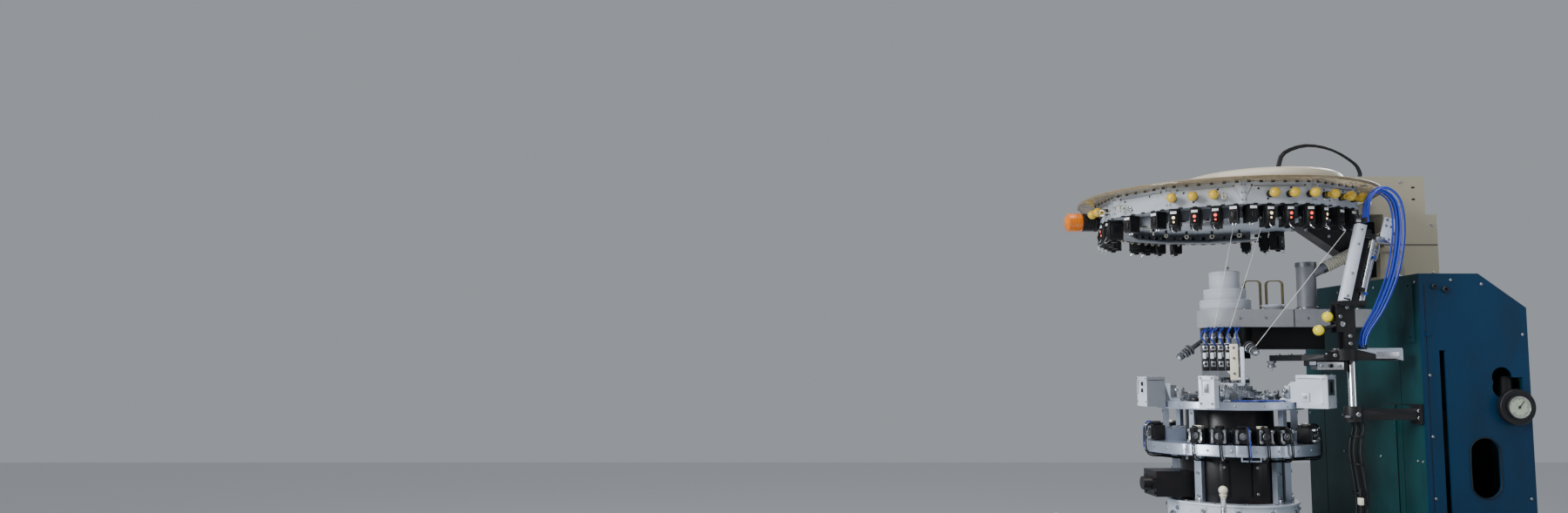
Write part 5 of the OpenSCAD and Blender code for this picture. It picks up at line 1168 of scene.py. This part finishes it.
def make_gauge():
    """Pressure gauge with its pale dial, needle and glass, in the dark surround."""
    centre = spot(0, 462, DECK + 295)
    at = place((corners("pressure_gauge")[1].x, centre.y, centre.z), (1, 0, 0)) @ OUTWARD
    shape = Shape("gauge_face", "black_paint", "chrome", "oily_black")
    shape.turned([(0, 0.9), (21, 0.9), (21, 0.15), (0, 0.15)], 0, at, 48)
    shape.turned([(21.6, 0.1), (24, 0.1), (24, 2.0), (23, 2.9), (21.9, 2.9), (21.6, 2.2), (21.6, 0.1)], 1, at, 48)
    shape.turned([(20.2, 0.1), (21.5, 0.1), (21.5, 2.4), (20.6, 2.4), (20.2, 1.6), (20.2, 0.1)], 2, at, 48)
    shape.turned([(24.3, -1.5), (34, -1.8), (35, -3), (35, -13), (24.3, -13), (24.3, -1.5)], 1, at, 56)
    for k in range(25):
        turn = Matrix.Rotation(math.radians(-135 + k * 11.25), 4, "Z")
        long = 5 if k % 4 == 0 else 3
        shape.block((-0.3, 19 - long, 0.85), (0.3, 19, 1.15), 1, 0, at @ turn)
    needle = at @ Matrix.Rotation(math.radians(52), 4, "Z")
    shape.block((-0.7, -5, 1.3), (0.7, 15, 1.7), 1, 0.2, needle)
    shape.turned([(0, 2.4), (2.2, 2.2), (2.6, 1.4), (2.6, 0.9), (0, 0.9)], 3, at, 20)
    shape.finish("gauge_dial_and_needle", slot="gauge_metal")


def make_upright_parts():
    """Screws, cover strip, door line, hinges and edge trims of the upright."""
    shape = Shape("deep_blue_paint", "teal_paint", "screw_steel", "oily_black", "black_rubber", "bright_steel")
    for s in (-1, 1):
        wall = place(spot(s * 225, 0, 0), (s, 0, 0))
        for y, z, r in ((316, 1595, 5), (338, 1589, 6), (300, 1501, 3), (300, 1420, 2.6), (300, 1300, 2.6),
                        (300, 1180, 2.6), (486, 1500, 2.6), (486, 1180, 2.6), (350, 1608, 2.6), (410, 1600, 2.6)):
            shape.screw(wall @ shift(0, s * y, z), r, 2 if r < 4 else 3)
        # rubber lip of the oblong hole, and the seam beside the front sheet
        lip = []
        for k in range(24):
            t = k * math.tau / 24
            up = math.copysign(29.5, math.sin(t)) if abs(math.sin(t)) > 1e-6 else 0
            lip.append((0.9, s * 401 + 29.4 * math.cos(t), 1239 + 29.4 * math.sin(t) + up))
        shape.wire(lip + lip[:1], 1.1, 4, 6, 2, wall)
        shape.block((-0.4, s * 297 - 0.6, 1075), (0.5, s * 297 + 0.6, 1600), 3, 0, wall)
    front = place(spot(0, 287, 0), (0, -1, 0))
    for x in (-212, -70, 70, 196, 212):
        for z in (1080, 1250, 1330, 1605):
            shape.screw(front @ shift(0, x, z), 2.8, 2)
    shape.block((0.1, 128, 1068), (1.6, 130, 1360), 3, 0.3, front)
    shape.block((0.1, 86, 1360), (1.6, 212, 1361.6), 3, 0.3, front)
    shape.block((-100, 490.2, DECK + 84), (100, 492.7, DECK + 296), 4, 0.6, HERE)
    for z in (1110, 1315):
        shape.rod((2, 127, z - 14), (2, 127, z + 14), 3.2, 1, at=front, sides=16)
    shape.finish("upright_screws_and_lips", slot="teal_paint")


def make_cable_parts():
    """Ties, plugs and sleeves on the cables and tubes, and thin tubes beside the CAD's own."""
    shape = Shape("black_rubber", "ivory", "blue_tube", "screw_steel", "green_cable")
    for z in (1300, 1246, 1190, 1140):
        at = stand(203, 162, z)
        shape.turned([(14.6, -1.6), (16.4, -1.4), (16.4, 1.4), (14.6, 1.6), (14.6, -1.6)], 0,
            at @ Matrix.Diagonal((1, 0.66, 1, 1)), 32)
        shape.block((14, -2, -2.4), (18.4, 2, 2.4), 0, 0.6, at)
    shape.block((219, 150, 1168), (229, 158, 1182), 1, 1.2, HERE)
    shape.wire(((216, 160, 1200), (221, 156, 1196), (224, 154, 1190), (224, 154, 1180)), 1.6, 0, at=HERE)
    for i in range(4):
        base = spot(226 + i * 5, 182, 1721)
        shape.turned([(2.1, 0.3), (3.6, 0.3), (3.6, 9), (2.1, 11), (2.1, 0.3)], 0, Matrix.Translation(base), 16)
        low = spot(198 + i * 5, 180, 1471.4)
        shape.turned([(2.1, 0), (2.46, 0), (2.46, 8), (2.1, 9), (2.1, 0)], 0, Matrix.Translation(low), 16)
    shape.finish("cable_ties_and_plugs", slot="cable_black")
    bundle = Shape("blue_tube", "black_rubber")
    arch = ((226, 182, 1721), (231, 184, 1763), (233, 208, 1785), (234, 236, 1763), (234, 242, 1705),
            (230, 230, 1625), (220, 206, 1555), (202, 184, 1505), (198, 180, 1480), (198, 180, 1472))
    for n, (out, side) in enumerate(((5, 18), (9, 17), (-6, 19), (-10, 14), (13, 2))):
        route = []
        for k, (x, y, z) in enumerate(arch):
            share = math.sin(math.pi * k / (len(arch) - 1))
            lean = math.sin(math.pi * min(1, k / 4))
            route.append((x + side - 3 * n * share, y + out * share, z + out * 0.6 * lean))
        bundle.wire(route, 1.7, 0, 10, 6, HERE)
        x, y, z = route[-1]
        bundle.rod((x, y, z), (x, y, z + 8), 2.6, 1, 12, HERE)
    bundle.finish("blue_tube_bundle", slot="blue_tube")


# CABINET AND CONTROLS

SLOPE = math.atan2(157, 160)
HALF_W = 332
FRONT = -438
BACK = 497


def on_slope(x, y, z=0.0):
    """A frame on the sloping panel: local X across, local Y up the slope, local Z out of it."""
    origin = AXIS + Vector(mm(0, FRONT, DECK - 157))
    return Matrix.Translation(origin) @ Matrix.Rotation(SLOPE, 4, "X") @ shift(x, y, z)


SLOPE_LEN = math.hypot(160, 157)
CONTROLS_X = -HALF_W + 52


def make_panel_parts():
    """Display, keypad, bare label fields, seams and screws of the sloping control panel."""
    shape = Shape("display_glass", "black_paint", "dark_key", "panel_white", "screw_steel", "panel_blue",
        "white_strip", "green_ring", "yellow_ring")
    low = (-HALF_W + 110, SLOPE_LEN - 128)
    at = on_slope(low[0], low[1], 12)
    shape.block((3, 3, 0.1), (101, 71, 1.4), 0, 0.4, at)
    for a, b in (((-4, -4), (108, 1)), ((-4, 73), (108, 78)), ((-4, 1), (1, 73)), ((103, 1), (108, 73))):
        shape.block((*a, 2.1), (*b, 4.2), 1, 0.6, at)
    # two columns of soft keys beside the display, and the cluster of dark keys at the right
    for k in range(4):
        shape.block((-17, 3 + k * 18, 2.2), (-7, 14 + k * 18, 4.6), 5, 1, at)
    for i in range(3):
        for j in range(4):
            key = on_slope(70 + j * 22, SLOPE_LEN - 128 + i * 22, 15.5)
            shape.block((1.5, 1.5, 0.1), (16.5, 16.5, 3.2), 2, 1.6, key, 3)
    keys = on_slope(66, SLOPE_LEN - 132, 14)
    for a, b in (((-2, -2), (94, 0.6)), ((-2, 69), (94, 71.6)), ((-2, 0.6), (0.6, 69)), ((91.4, 0.6), (94, 69))):
        shape.block((*a, 0.1), (*b, 1.6), 1, 0.4, keys)
    for i in range(2):
        for j in range(5):
            shape.block((0, 0, 0.1), (13, 8, 2.4), (3, 2, 5)[(i + j) % 3], 0.9,
                on_slope(190 + j * 19, SLOPE_LEN - 76 + i * 16, 14))
    for j in range(4):
        shape.block((0, 0, 0.1), (20, 11, 0.8), 6, 0.3, on_slope(190 + j * 25, SLOPE_LEN - 112, 14))
    for x, y, wide, tall in ((-262, 172, 26, 8), (-262, 112, 26, 8), (-262, 78, 26, 8), (-262, 44, 26, 8),
                             (-222, 60, 104, 14), (70, 60, 86, 14)):
        shape.block((0, 0, 0.05), (wide, tall, 0.5), 6, 0.2, on_slope(x, y - 12, 14))
    for x in (-HALF_W + 10, -110, 110, HALF_W - 10):
        for y in (8, SLOPE_LEN - 22):
            shape.screw(on_slope(x, y, 16) @ UPWARD, 3.3, 4)
    for k in range(8):
        shape.turned([(0, 1.6), (1.4, 1.5), (2, 0.9), (2, 0.05), (0, 0.05)], 7 if k % 4 == 0 else 8,
            on_slope(-6 + k % 2 * 12, SLOPE_LEN - 128 + k // 2 * 18, 14), 16)
    shape.finish("display_keys_and_labels", slot="panel_white")


def make_buttons():
    """Stop mushroom, its yellow base, the small buttons and the ringed key switch."""
    slope_y = {"estop": SLOPE_LEN - 60, "stop": SLOPE_LEN - 104, "start": SLOPE_LEN - 138, "key": SLOPE_LEN - 172}
    base = Shape("yellow_ring", "black_paint", "screw_steel")
    at = on_slope(CONTROLS_X, slope_y["estop"], 14)
    base.turned([(13.2, 0.05), (29, 0.05), (29.4, 1), (29.4, 4), (28.4, 5), (13.2, 5), (13.2, 0.05)], 0, at, 64)
    base.turned([(9.1, 0.4), (13, 0.4), (13, 12), (12.2, 13), (9.1, 13), (9.1, 0.4)], 1, at, 48)
    base.turned([(18, 5.0), (26, 5.0), (25.6, 5.5), (18.4, 5.5), (18, 5.0)], 0, at, 48)
    base.finish("stop_base_and_collar", slot="yellow_plastic", replaces=["estop_base"])
    head = Shape("red_cap")
    at = on_slope(CONTROLS_X, slope_y["estop"], 32)
    head.turned([(0, 18), (6, 17.9), (13, 17.2), (17.4, 15.6), (19.4, 13), (20, 10.6), (19.4, 8), (15, 3),
        (13.6, 0.4), (8.9, 0.2), (8.9, -23.8), (0, -23.8)], 0, at, 64)
    for k in range(3):
        turn = at @ Matrix.Rotation(k * math.tau / 3, 4, "Z")
        head.block((9, -1.2, 16.9), (14, 1.2, 17.6), 0, 0.3, turn)
    head.finish("stop_mushroom", "stop_mushroom", "red_plastic", replaces=["estop_button"])
    for name, body, finish_name, slot in (("stop", "stop_key", "red_cap", "red_plastic"),
                                          ("start", "start_key", "yellow_ring", "yellow_plastic")):
        at = on_slope(CONTROLS_X, slope_y[name], 14)
        cap = Shape(finish_name, "black_paint")
        cap.turned([(0, 10.6), (6, 10.9), (9.4, 12), (10.6, 11.6), (11, 10.6), (11, 5), (6.9, 5), (6.9, -11.9),
            (0, -11.9)], 0, at, 48)
        cap.finish(name + "_cap", body, slot, replaces=[name + "_button"])
        bezel = Shape("screw_steel")
        bezel.turned([(11.3, 0.05), (15, 0.05), (14.6, 3), (13.4, 4), (11.3, 4), (11.3, 0.05)], 0, at, 48)
        bezel.finish(name + "_bezel", slot="key_metal")
    at = on_slope(CONTROLS_X, slope_y["key"], 14)
    ring = Shape("green_ring", "screw_steel")
    ring.turned([(12.3, 0.05), (16.6, 0.05), (16.2, 3.6), (15, 5), (12.3, 5), (12.3, 0.05)], 0, at, 48)
    ring.turned([(16.6, 0.05), (18, 0.05), (17.6, 2), (16.6, 2), (16.6, 0.05)], 1, at, 48)
    ring.finish("key_switch_ring", slot="key_metal")
    key = Shape("chrome", "black_paint")
    key.turned([(6.9, 0.3), (11.9, 0.3), (11.9, 5.6), (11.3, 6.3), (9, 6.3), (8.4, 5.6), (8.4, 4.2), (0, 4.2),
        (0, -11.9), (6.9, -11.9), (6.9, 0.3)], 0, at, 48)
    key.block((-1.2, -2.8, 4.3), (1.2, 2.8, 10), 0, 0.3, at)
    key.block((-1.7, -7.8, 10), (1.7, 7.8, 20.6), 1, 1.4, at, 3)
    key.sleeve(2.6, 4.2, -0.6, 0.6, 0, at @ shift(2.2, 0, 16) @ OUTWARD, 20)
    key.finish("key_in_switch", "key", "key_metal", replaces=["key_switch"])


def make_door():
    """Cream door with its dark grip, raised border, latches and hinge screws."""
    shape = Shape("door_cream", "black_rubber", "dull_steel")
    front = corners("front_door")[0].y + 0.0245
    hinge_y = (AXIS.y * 1000 + FRONT - 5) / 1000

    def rule(c, n):
        if c.y < front - 0.0012 and c.x < 0:
            return 1
        return 2 if c.x > 0.288 and c.y < front - 0.0002 and abs(c.y - hinge_y) < 0.0075 else 0

    shape.copy_node("front_door", rule)
    add_edges(shape.finish("door_with_grip", "door", "door_cream", replaces=["front_door"]), 0.0012)
    trim = Shape("screw_steel", "black_rubber", "door_cream")
    base = Matrix.Translation((0, (AXIS.y * 1000 + FRONT) / 1000, 0))
    # raised border, as left, right, bottom and top of each of its four strips
    for left, right, bottom, top in ((-291, 291, 94, 96.4), (-291, 291, 883.6, 886), (-291, -288.6, 94, 886),
                                     (288.6, 291, 94, 886)):
        trim.block((left, -0.7, bottom), (right, 0.4, top), 2, 0.3, base)
    for z in (740, 420):
        at = base @ place(mm(-289, -0.6, z), (0, -1, 0)) @ OUTWARD
        trim.turned([(0, 3), (8, 3), (9.6, 2), (10, 0), (0, 0)], 0, at, 28)
        # painted shade: a dark bar across each latch stands for the shade in its slot
        trim.block((-1, -5.5, 2.8), (1, 5.5, 3.3), 1, 0, at)
    for z in (140, 794):
        for dz in (8, 32):
            trim.screw(base @ place(mm(290, -5.2, z + dz), (0, -1, 0)) @ shift(1.2, -3, 0), 2.2, 0)
    trim.finish("door_seams_and_latches", "door", "door_cream")


def make_cabinet_parts():
    """Screws, seams and lips of the cabinet, and the collars of its spigot, gland and air inlet."""
    shape = Shape("cabinet_teal", "screw_steel", "black_rubber", "black_paint", "dull_steel")
    for s in (-1, 1):
        for y, z in ((-420, 90), (-420, 400), (-420, 700), (-420, 880), (-230, 1040), (-100, 1040), (60, 1040),
                     (240, 1040), (440, 1040), (480, 800), (480, 400), (480, 90), (-200, 90), (100, 90), (300, 90),
                     (-250, 600), (-132, 600), (-250, 300), (-132, 300), (200, 500), (-60, 500)):
            # countersunk screws whose countersink and slot are painted shade in the black finish
            shape.countersunk(place(spot(s * HALF_W, y, z), (s, 0, 0)), 3.6, 1, 3)
        at = place(spot(s * HALF_W, 182, DECK - 128), (s, 0, 0)) @ OUTWARD
        shape.turned([(40.4, -4.3), (41.2, -4.6), (43.4, 0), (43, 0.3), (40.8, 0.3), (40.4, -4.3)], 2, at, 56)
        for y in (-245, -127):
            shape.block((s * HALF_W - 0.3, y + 2.4, 70), (s * HALF_W + 0.3, y + 3.4, 1050), 3, 0, HERE)
        shape.block((min(s * 326, s * 332.3), -390, 60.5), (max(s * 326, s * 332.3), 495, 67), 3, 0.2, HERE)
    for x in (-300, -150, 0, 150, 300):
        for z in (90, 400, 720, 1035):
            shape.screw(place(spot(x, BACK, z), (0, 1, 0)), 3.4, 1, "slot")
    for row, ys in (((-318, -200, -60, 60, 200, 318), (-260, 480)), ((-318, 318), (-120, 60, 240, 400))):
        for x in row:
            for y in ys:
                shape.screw(stand(x, y, DECK) @ UPWARD, 4, 1)
    spigot = stand(0, BACK, 300) @ facing((0, 1, 0))
    shape.turned([(46.6, 0.2), (56, 0.2), (56, 3), (54, 4), (46.6, 4), (46.6, 0.2)], 2, spigot, 56)
    for k in range(6):
        turn = spigot @ Matrix.Rotation(k * math.tau / 6, 4, "Z") @ shift(51.5, 0, 4)
        shape.screw(turn @ UPWARD, 2.2, 1)
    gland = stand(-220, BACK, 200) @ facing((0, 1, 0))
    shape.turned([(0, 6.5), (15, 6.5), (15, 0.2), (0, 0.2)], 2, gland, 6)
    shape.turned([(0, 15), (7.5, 15), (7.5, 21), (10, 21), (12.5, 17), (12.5, 6.7), (0, 6.7)], 2, gland, 28)
    inlet = Matrix.Translation((AXIS.x + 0.15, corners("pressure_gauge")[1].y, 1.393)) @ facing((0, 1, 0))
    shape.sleeve(6.2, 8.6, -0.2, 0.1, 4, inlet, 6)
    shape.finish("cabinet_screws_and_lips", slot="teal_paint")


def make_hose():
    """Ribbed cream hose with its cuffs, in place of the plain one."""
    shape = Shape("hose_cream", "tube_grey", "screw_steel")
    start = spot(16, 214, 1654)
    run = spot(30, 320, 1710) - start
    length = run.length * 1000
    at = Matrix.Translation(start) @ facing(run)
    profile = [(0, 0.4)]
    ribs = 22
    pitch = (length - 1.2) / ribs
    for i in range(ribs):
        z = 0.6 + i * pitch
        profile += [(11.2, z), (12.6, z + pitch * 0.22), (13, z + pitch * 0.45), (12.6, z + pitch * 0.68),
                    (11.2, z + pitch * 0.9)]
    profile += [(0, length - 0.5)]
    shape.turned(profile, 0, at, 40)
    shape.sleeve(10.1, 11.4, -9, -0.6, 2, at, 32)
    shape.finish("ribbed_hose", slot="hose_cream", replaces=["suction_hose"])


def make_yarns():
    """White yarns held taut between the disc's eyelets and the head."""
    fingers = finger_frame()
    runs = (
        ("front", spot(*on_circle(-14.5, EYELET_R, BAND_LOW - 16)), fingers @ Vector(mm(61, -24, DECK + 445))),
        ("middle", spot(*on_circle(8, EYELET_R, BAND_LOW - 16)), fingers @ Vector(mm(61, 6, DECK + 445))),
        ("slanting", flat_frame(33, BAND_LOW) @ Vector(mm(6, 3, -49)), fingers @ Vector(mm(92, 58, DECK + 417))),
    )
    for name, start, end in runs:
        path = [start.lerp(end, k / 12) for k in range(13)]
        shape = Shape("yarn_white")
        shape.wire([p * 1000 for p in path], 0.6, 0, 8, 1)
        yarn = shape.finish("yarn_" + name, slot="white_enamel")
        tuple(start)


# STAGE

CAMERA_SHIFT_X = 0.0044
CAMERA_SHIFT_Y = 0.02
CAMERA_PITCH = 4.54
CAMERA_PLACE = (2.270, -1.0315, 1.430)
LIGHTS_AIM = (0, 0, 1.3)


def plain(name, colour):
    """A plain matt surface."""
    made = bpy.data.materials.new(name)
    made.use_nodes = True
    shader = made.node_tree.nodes["Principled BSDF"]
    shader.inputs["Base Color"].default_value = linear(colour)
    shader.inputs["Roughness"].default_value = 0.7
    return made


def add_light(name, location, target, size, power, colour=(1, 1, 1)):
    """A soft square light that looks at a point."""
    data = bpy.data.lights.new(name, "AREA")
    data.shape = "SQUARE"
    data.size = size
    data.energy = power
    data.color = colour
    obj = bpy.data.objects.new(name, data)
    obj.location = location
    obj.rotation_mode = "QUATERNION"
    obj.rotation_quaternion = (Vector(target) - Vector(location)).to_track_quat("-Z", "Y")
    bpy.context.scene.collection.objects.link(obj)


def add_camera(lens):
    """The camera, at the eye height and angle of the photograph."""
    data = bpy.data.cameras.new("Camera")
    data.lens = lens
    data.sensor_width = 36
    data.shift_x = CAMERA_SHIFT_X
    data.shift_y = CAMERA_SHIFT_Y
    data.clip_start = 0.05
    data.clip_end = 60
    obj = bpy.data.objects.new("Camera", data)
    obj.location = CAMERA_PLACE
    obj.rotation_euler = (math.radians(90 + CAMERA_PITCH), 0, math.radians(90))
    bpy.context.scene.collection.objects.link(obj)
    bpy.context.scene.camera = obj


def make_stage(settings):
    """Pale floor, soft studio light and the camera."""
    shape = bmesh.new()
    bmesh.ops.create_grid(shape, x_segments=1, y_segments=1, size=14)
    data = bpy.data.meshes.new("floor")
    shape.to_mesh(data)
    shape.free()
    data.materials.append(plain("floor_grey", "#e4e5e7"))
    floor = bpy.data.objects.new("floor", data)
    floor.location = (0, 0, -0.0005)
    bpy.context.scene.collection.objects.link(floor)
    world = bpy.data.worlds.new("studio")
    world.use_nodes = True
    world.node_tree.nodes["Background"].inputs["Color"].default_value = (0.82, 0.87, 0.94, 1)
    world.node_tree.nodes["Background"].inputs["Strength"].default_value = 0.38
    bpy.context.scene.world = world
    add_light("ceiling", (0.6, -0.6, 4.2), LIGHTS_AIM, 3.0, 130 * settings.light)
    add_light("key", (2.0, -4.3, 2.9), LIGHTS_AIM, 1.8, 215 * settings.light, (0.96, 0.98, 1.0))
    add_light("rear", (-3.0, 2.6, 3.2), LIGHTS_AIM, 2.0, 100 * settings.light, (0.92, 0.96, 1.0))
    add_light("side", (2.6, 3.4, 2.2), LIGHTS_AIM, 1.8, 20 * settings.light, (0.95, 0.97, 1.0))
    add_camera(settings.lens)


# SETTINGS AND OPERATORS


class KnittingPaint(bpy.types.PropertyGroup):
    """Colours of the machine's painted sheet metal."""

    side: bpy.props.FloatVectorProperty(
        name="Upright sides", description="Paint of the upright's two side sheets", subtype="COLOR", size=3,
        min=0, max=1, default=linear(LOOKS["deep_blue_paint"]["colour"])[:3])
    front: bpy.props.FloatVectorProperty(
        name="Upright front", description="Paint of the upright's front and rear sheets", subtype="COLOR", size=3,
        min=0, max=1, default=linear(LOOKS["teal_paint"]["colour"])[:3])
    cabinet: bpy.props.FloatVectorProperty(
        name="Cabinet", description="Paint of the cabinet's sheets", subtype="COLOR", size=3,
        min=0, max=1, default=linear(LOOKS["cabinet_teal"]["colour"])[:3])


class KnittingTrim(bpy.types.PropertyGroup):
    """Sizes that the fine parts share."""

    edge: bpy.props.FloatProperty(
        name="Edge", description="Width of the rounded edges on the CAD parts", unit="LENGTH", default=0.0009,
        min=0.0, max=0.003, precision=4)


class KnittingStage(bpy.types.PropertyGroup):
    """Camera and light."""

    lens: bpy.props.FloatProperty(
        name="Lens", description="Focal length of the camera", subtype="DISTANCE_CAMERA", default=23.8, min=10,
        max=200)
    light: bpy.props.FloatProperty(
        name="Light", description="Strength of the studio lights against the usual", subtype="FACTOR", default=1.0,
        min=0.0, max=4.0)


class KNITTING_OT_dress_frame(bpy.types.Operator):
    """Give the CAD parts their finishes and rounded edges"""

    bl_idname = "knitting.dress_frame"
    bl_label = "CAD finishes"
    bl_options = {"REGISTER", "UNDO"}

    def execute(self, context):
        paint = context.scene.knitting_paint
        for name, colour in (("deep_blue_paint", paint.side), ("teal_paint", paint.front),
                             ("cabinet_teal", paint.cabinet)):
            LOOKS[name]["base"] = tuple(colour) + (1.0,)
        for name, nodes in NODE_FINISHES.items():
            dress(nodes, name)
        for node in SOFT_EDGES:
            soften(node, context.scene.knitting_trim.edge)
        return {"FINISHED"}


class KNITTING_OT_head(bpy.types.Operator):
    """Motors, rings, base ring and actuator boxes of the knitting head"""

    bl_idname = "knitting.head"
    bl_label = "Knitting head"
    bl_options = {"REGISTER", "UNDO"}

    def execute(self, context):
        make_motors()
        make_ring_parts()
        make_base_ring()
        make_actuators()
        return {"FINISHED"}


class KNITTING_OT_needles(bpy.types.Operator):
    """Cam levers, finger fittings and coil brakes round the needles"""

    bl_idname = "knitting.needles"
    bl_label = "Cams and fingers"
    bl_options = {"REGISTER", "UNDO"}

    def execute(self, context):
        make_cam_parts()
        make_fingers()
        return {"FINISHED"}


class KNITTING_OT_lever(bpy.types.Operator):
    """Clamp lever with its grip"""

    bl_idname = "knitting.lever"
    bl_label = "Clamp lever"
    bl_options = {"REGISTER", "UNDO"}

    def execute(self, context):
        make_lever()
        return {"FINISHED"}


class KNITTING_OT_slab(bpy.types.Operator):
    """Dish, screws and clamps of the cover slab, and the ribbed hose"""

    bl_idname = "knitting.slab"
    bl_label = "Cover slab and hose"
    bl_options = {"REGISTER", "UNDO"}

    def execute(self, context):
        make_slab_parts()
        make_hose()
        return {"FINISHED"}


class KNITTING_OT_arm(bpy.types.Operator):
    """Clamped arm, slanting bar and trip knuckle"""

    bl_idname = "knitting.arm"
    bl_label = "Clamped arm"
    bl_options = {"REGISTER", "UNDO"}

    def execute(self, context):
        make_arm()
        make_slant()
        make_trip()
        return {"FINISHED"}


class KNITTING_OT_upright(bpy.types.Operator):
    """Gauge, screws and lips of the upright, and the cable ties"""

    bl_idname = "knitting.upright"
    bl_label = "Upright"
    bl_options = {"REGISTER", "UNDO"}

    def execute(self, context):
        make_gauge()
        make_upright_parts()
        make_cable_parts()
        make_boom_parts()
        return {"FINISHED"}


class KNITTING_OT_disc(bpy.types.Operator):
    """Knobs, sensors, clips, eyelets, rim and beacon of the yarn disc"""

    bl_idname = "knitting.disc"
    bl_label = "Yarn disc"
    bl_options = {"REGISTER", "UNDO"}

    def execute(self, context):
        make_knobs()
        make_sensors()
        make_band_parts()
        make_lid_rim()
        make_beacon()
        return {"FINISHED"}


class KNITTING_OT_controls(bpy.types.Operator):
    """Display, keys, buttons and key switch of the control panel"""

    bl_idname = "knitting.controls"
    bl_label = "Controls"
    bl_options = {"REGISTER", "UNDO"}

    def execute(self, context):
        make_panel_parts()
        make_buttons()
        return {"FINISHED"}


class KNITTING_OT_cabinet(bpy.types.Operator):
    """Door, screws and lips of the cabinet"""

    bl_idname = "knitting.cabinet"
    bl_label = "Cabinet"
    bl_options = {"REGISTER", "UNDO"}

    def execute(self, context):
        make_door()
        make_cabinet_parts()
        return {"FINISHED"}


class KNITTING_OT_yarns(bpy.types.Operator):
    """White yarns held taut between the disc and the head"""

    bl_idname = "knitting.yarns"
    bl_label = "Yarns"
    bl_options = {"REGISTER", "UNDO"}

    def execute(self, context):
        make_yarns()
        return {"FINISHED"}


class KNITTING_OT_stage(bpy.types.Operator):
    """Floor, lights and camera"""

    bl_idname = "knitting.stage"
    bl_label = "Stage"
    bl_options = {"REGISTER", "UNDO"}

    def execute(self, context):
        make_stage(context.scene.knitting_stage)
        return {"FINISHED"}


OPERATORS = (
    KNITTING_OT_stage, KNITTING_OT_yarns, KNITTING_OT_dress_frame, KNITTING_OT_head, KNITTING_OT_needles,
    KNITTING_OT_lever, KNITTING_OT_slab, KNITTING_OT_arm, KNITTING_OT_upright, KNITTING_OT_disc,
    KNITTING_OT_controls, KNITTING_OT_cabinet,
)


class KNITTING_PT_panel(bpy.types.Panel):
    """The machine's pieces and settings in the sidebar"""

    bl_label = "Knitting machine"
    bl_idname = "KNITTING_PT_panel"
    bl_space_type = "VIEW_3D"
    bl_region_type = "UI"
    bl_category = "Knitting"

    def draw(self, context):
        for group in ("knitting_paint", "knitting_trim", "knitting_stage"):
            settings = getattr(context.scene, group)
            for key in settings.__annotations__:
                self.layout.prop(settings, key)
        for each in OPERATORS:
            self.layout.operator(each.bl_idname)


CLASSES = (KnittingPaint, KnittingTrim, KnittingStage) + OPERATORS + (KNITTING_PT_panel,)


def register():
    for each in CLASSES:
        bpy.utils.register_class(each)
    bpy.types.Scene.knitting_paint = bpy.props.PointerProperty(type=KnittingPaint)
    bpy.types.Scene.knitting_trim = bpy.props.PointerProperty(type=KnittingTrim)
    bpy.types.Scene.knitting_stage = bpy.props.PointerProperty(type=KnittingStage)


def unregister():
    del bpy.types.Scene.knitting_stage
    del bpy.types.Scene.knitting_trim
    del bpy.types.Scene.knitting_paint
    for each in reversed(CLASSES):
        bpy.utils.unregister_class(each)


def main():
    """Builds everything in order."""
    register()
    bpy.ops.knitting.stage()
    bpy.ops.knitting.yarns()
    bpy.ops.knitting.dress_frame()
    bpy.ops.knitting.head()
    bpy.ops.knitting.needles()
    bpy.ops.knitting.lever()
    bpy.ops.knitting.slab()
    bpy.ops.knitting.arm()
    bpy.ops.knitting.upright()
    bpy.ops.knitting.disc()
    bpy.ops.knitting.controls()
    bpy.ops.knitting.cabinet()


if __name__ == "__main__":
    main()
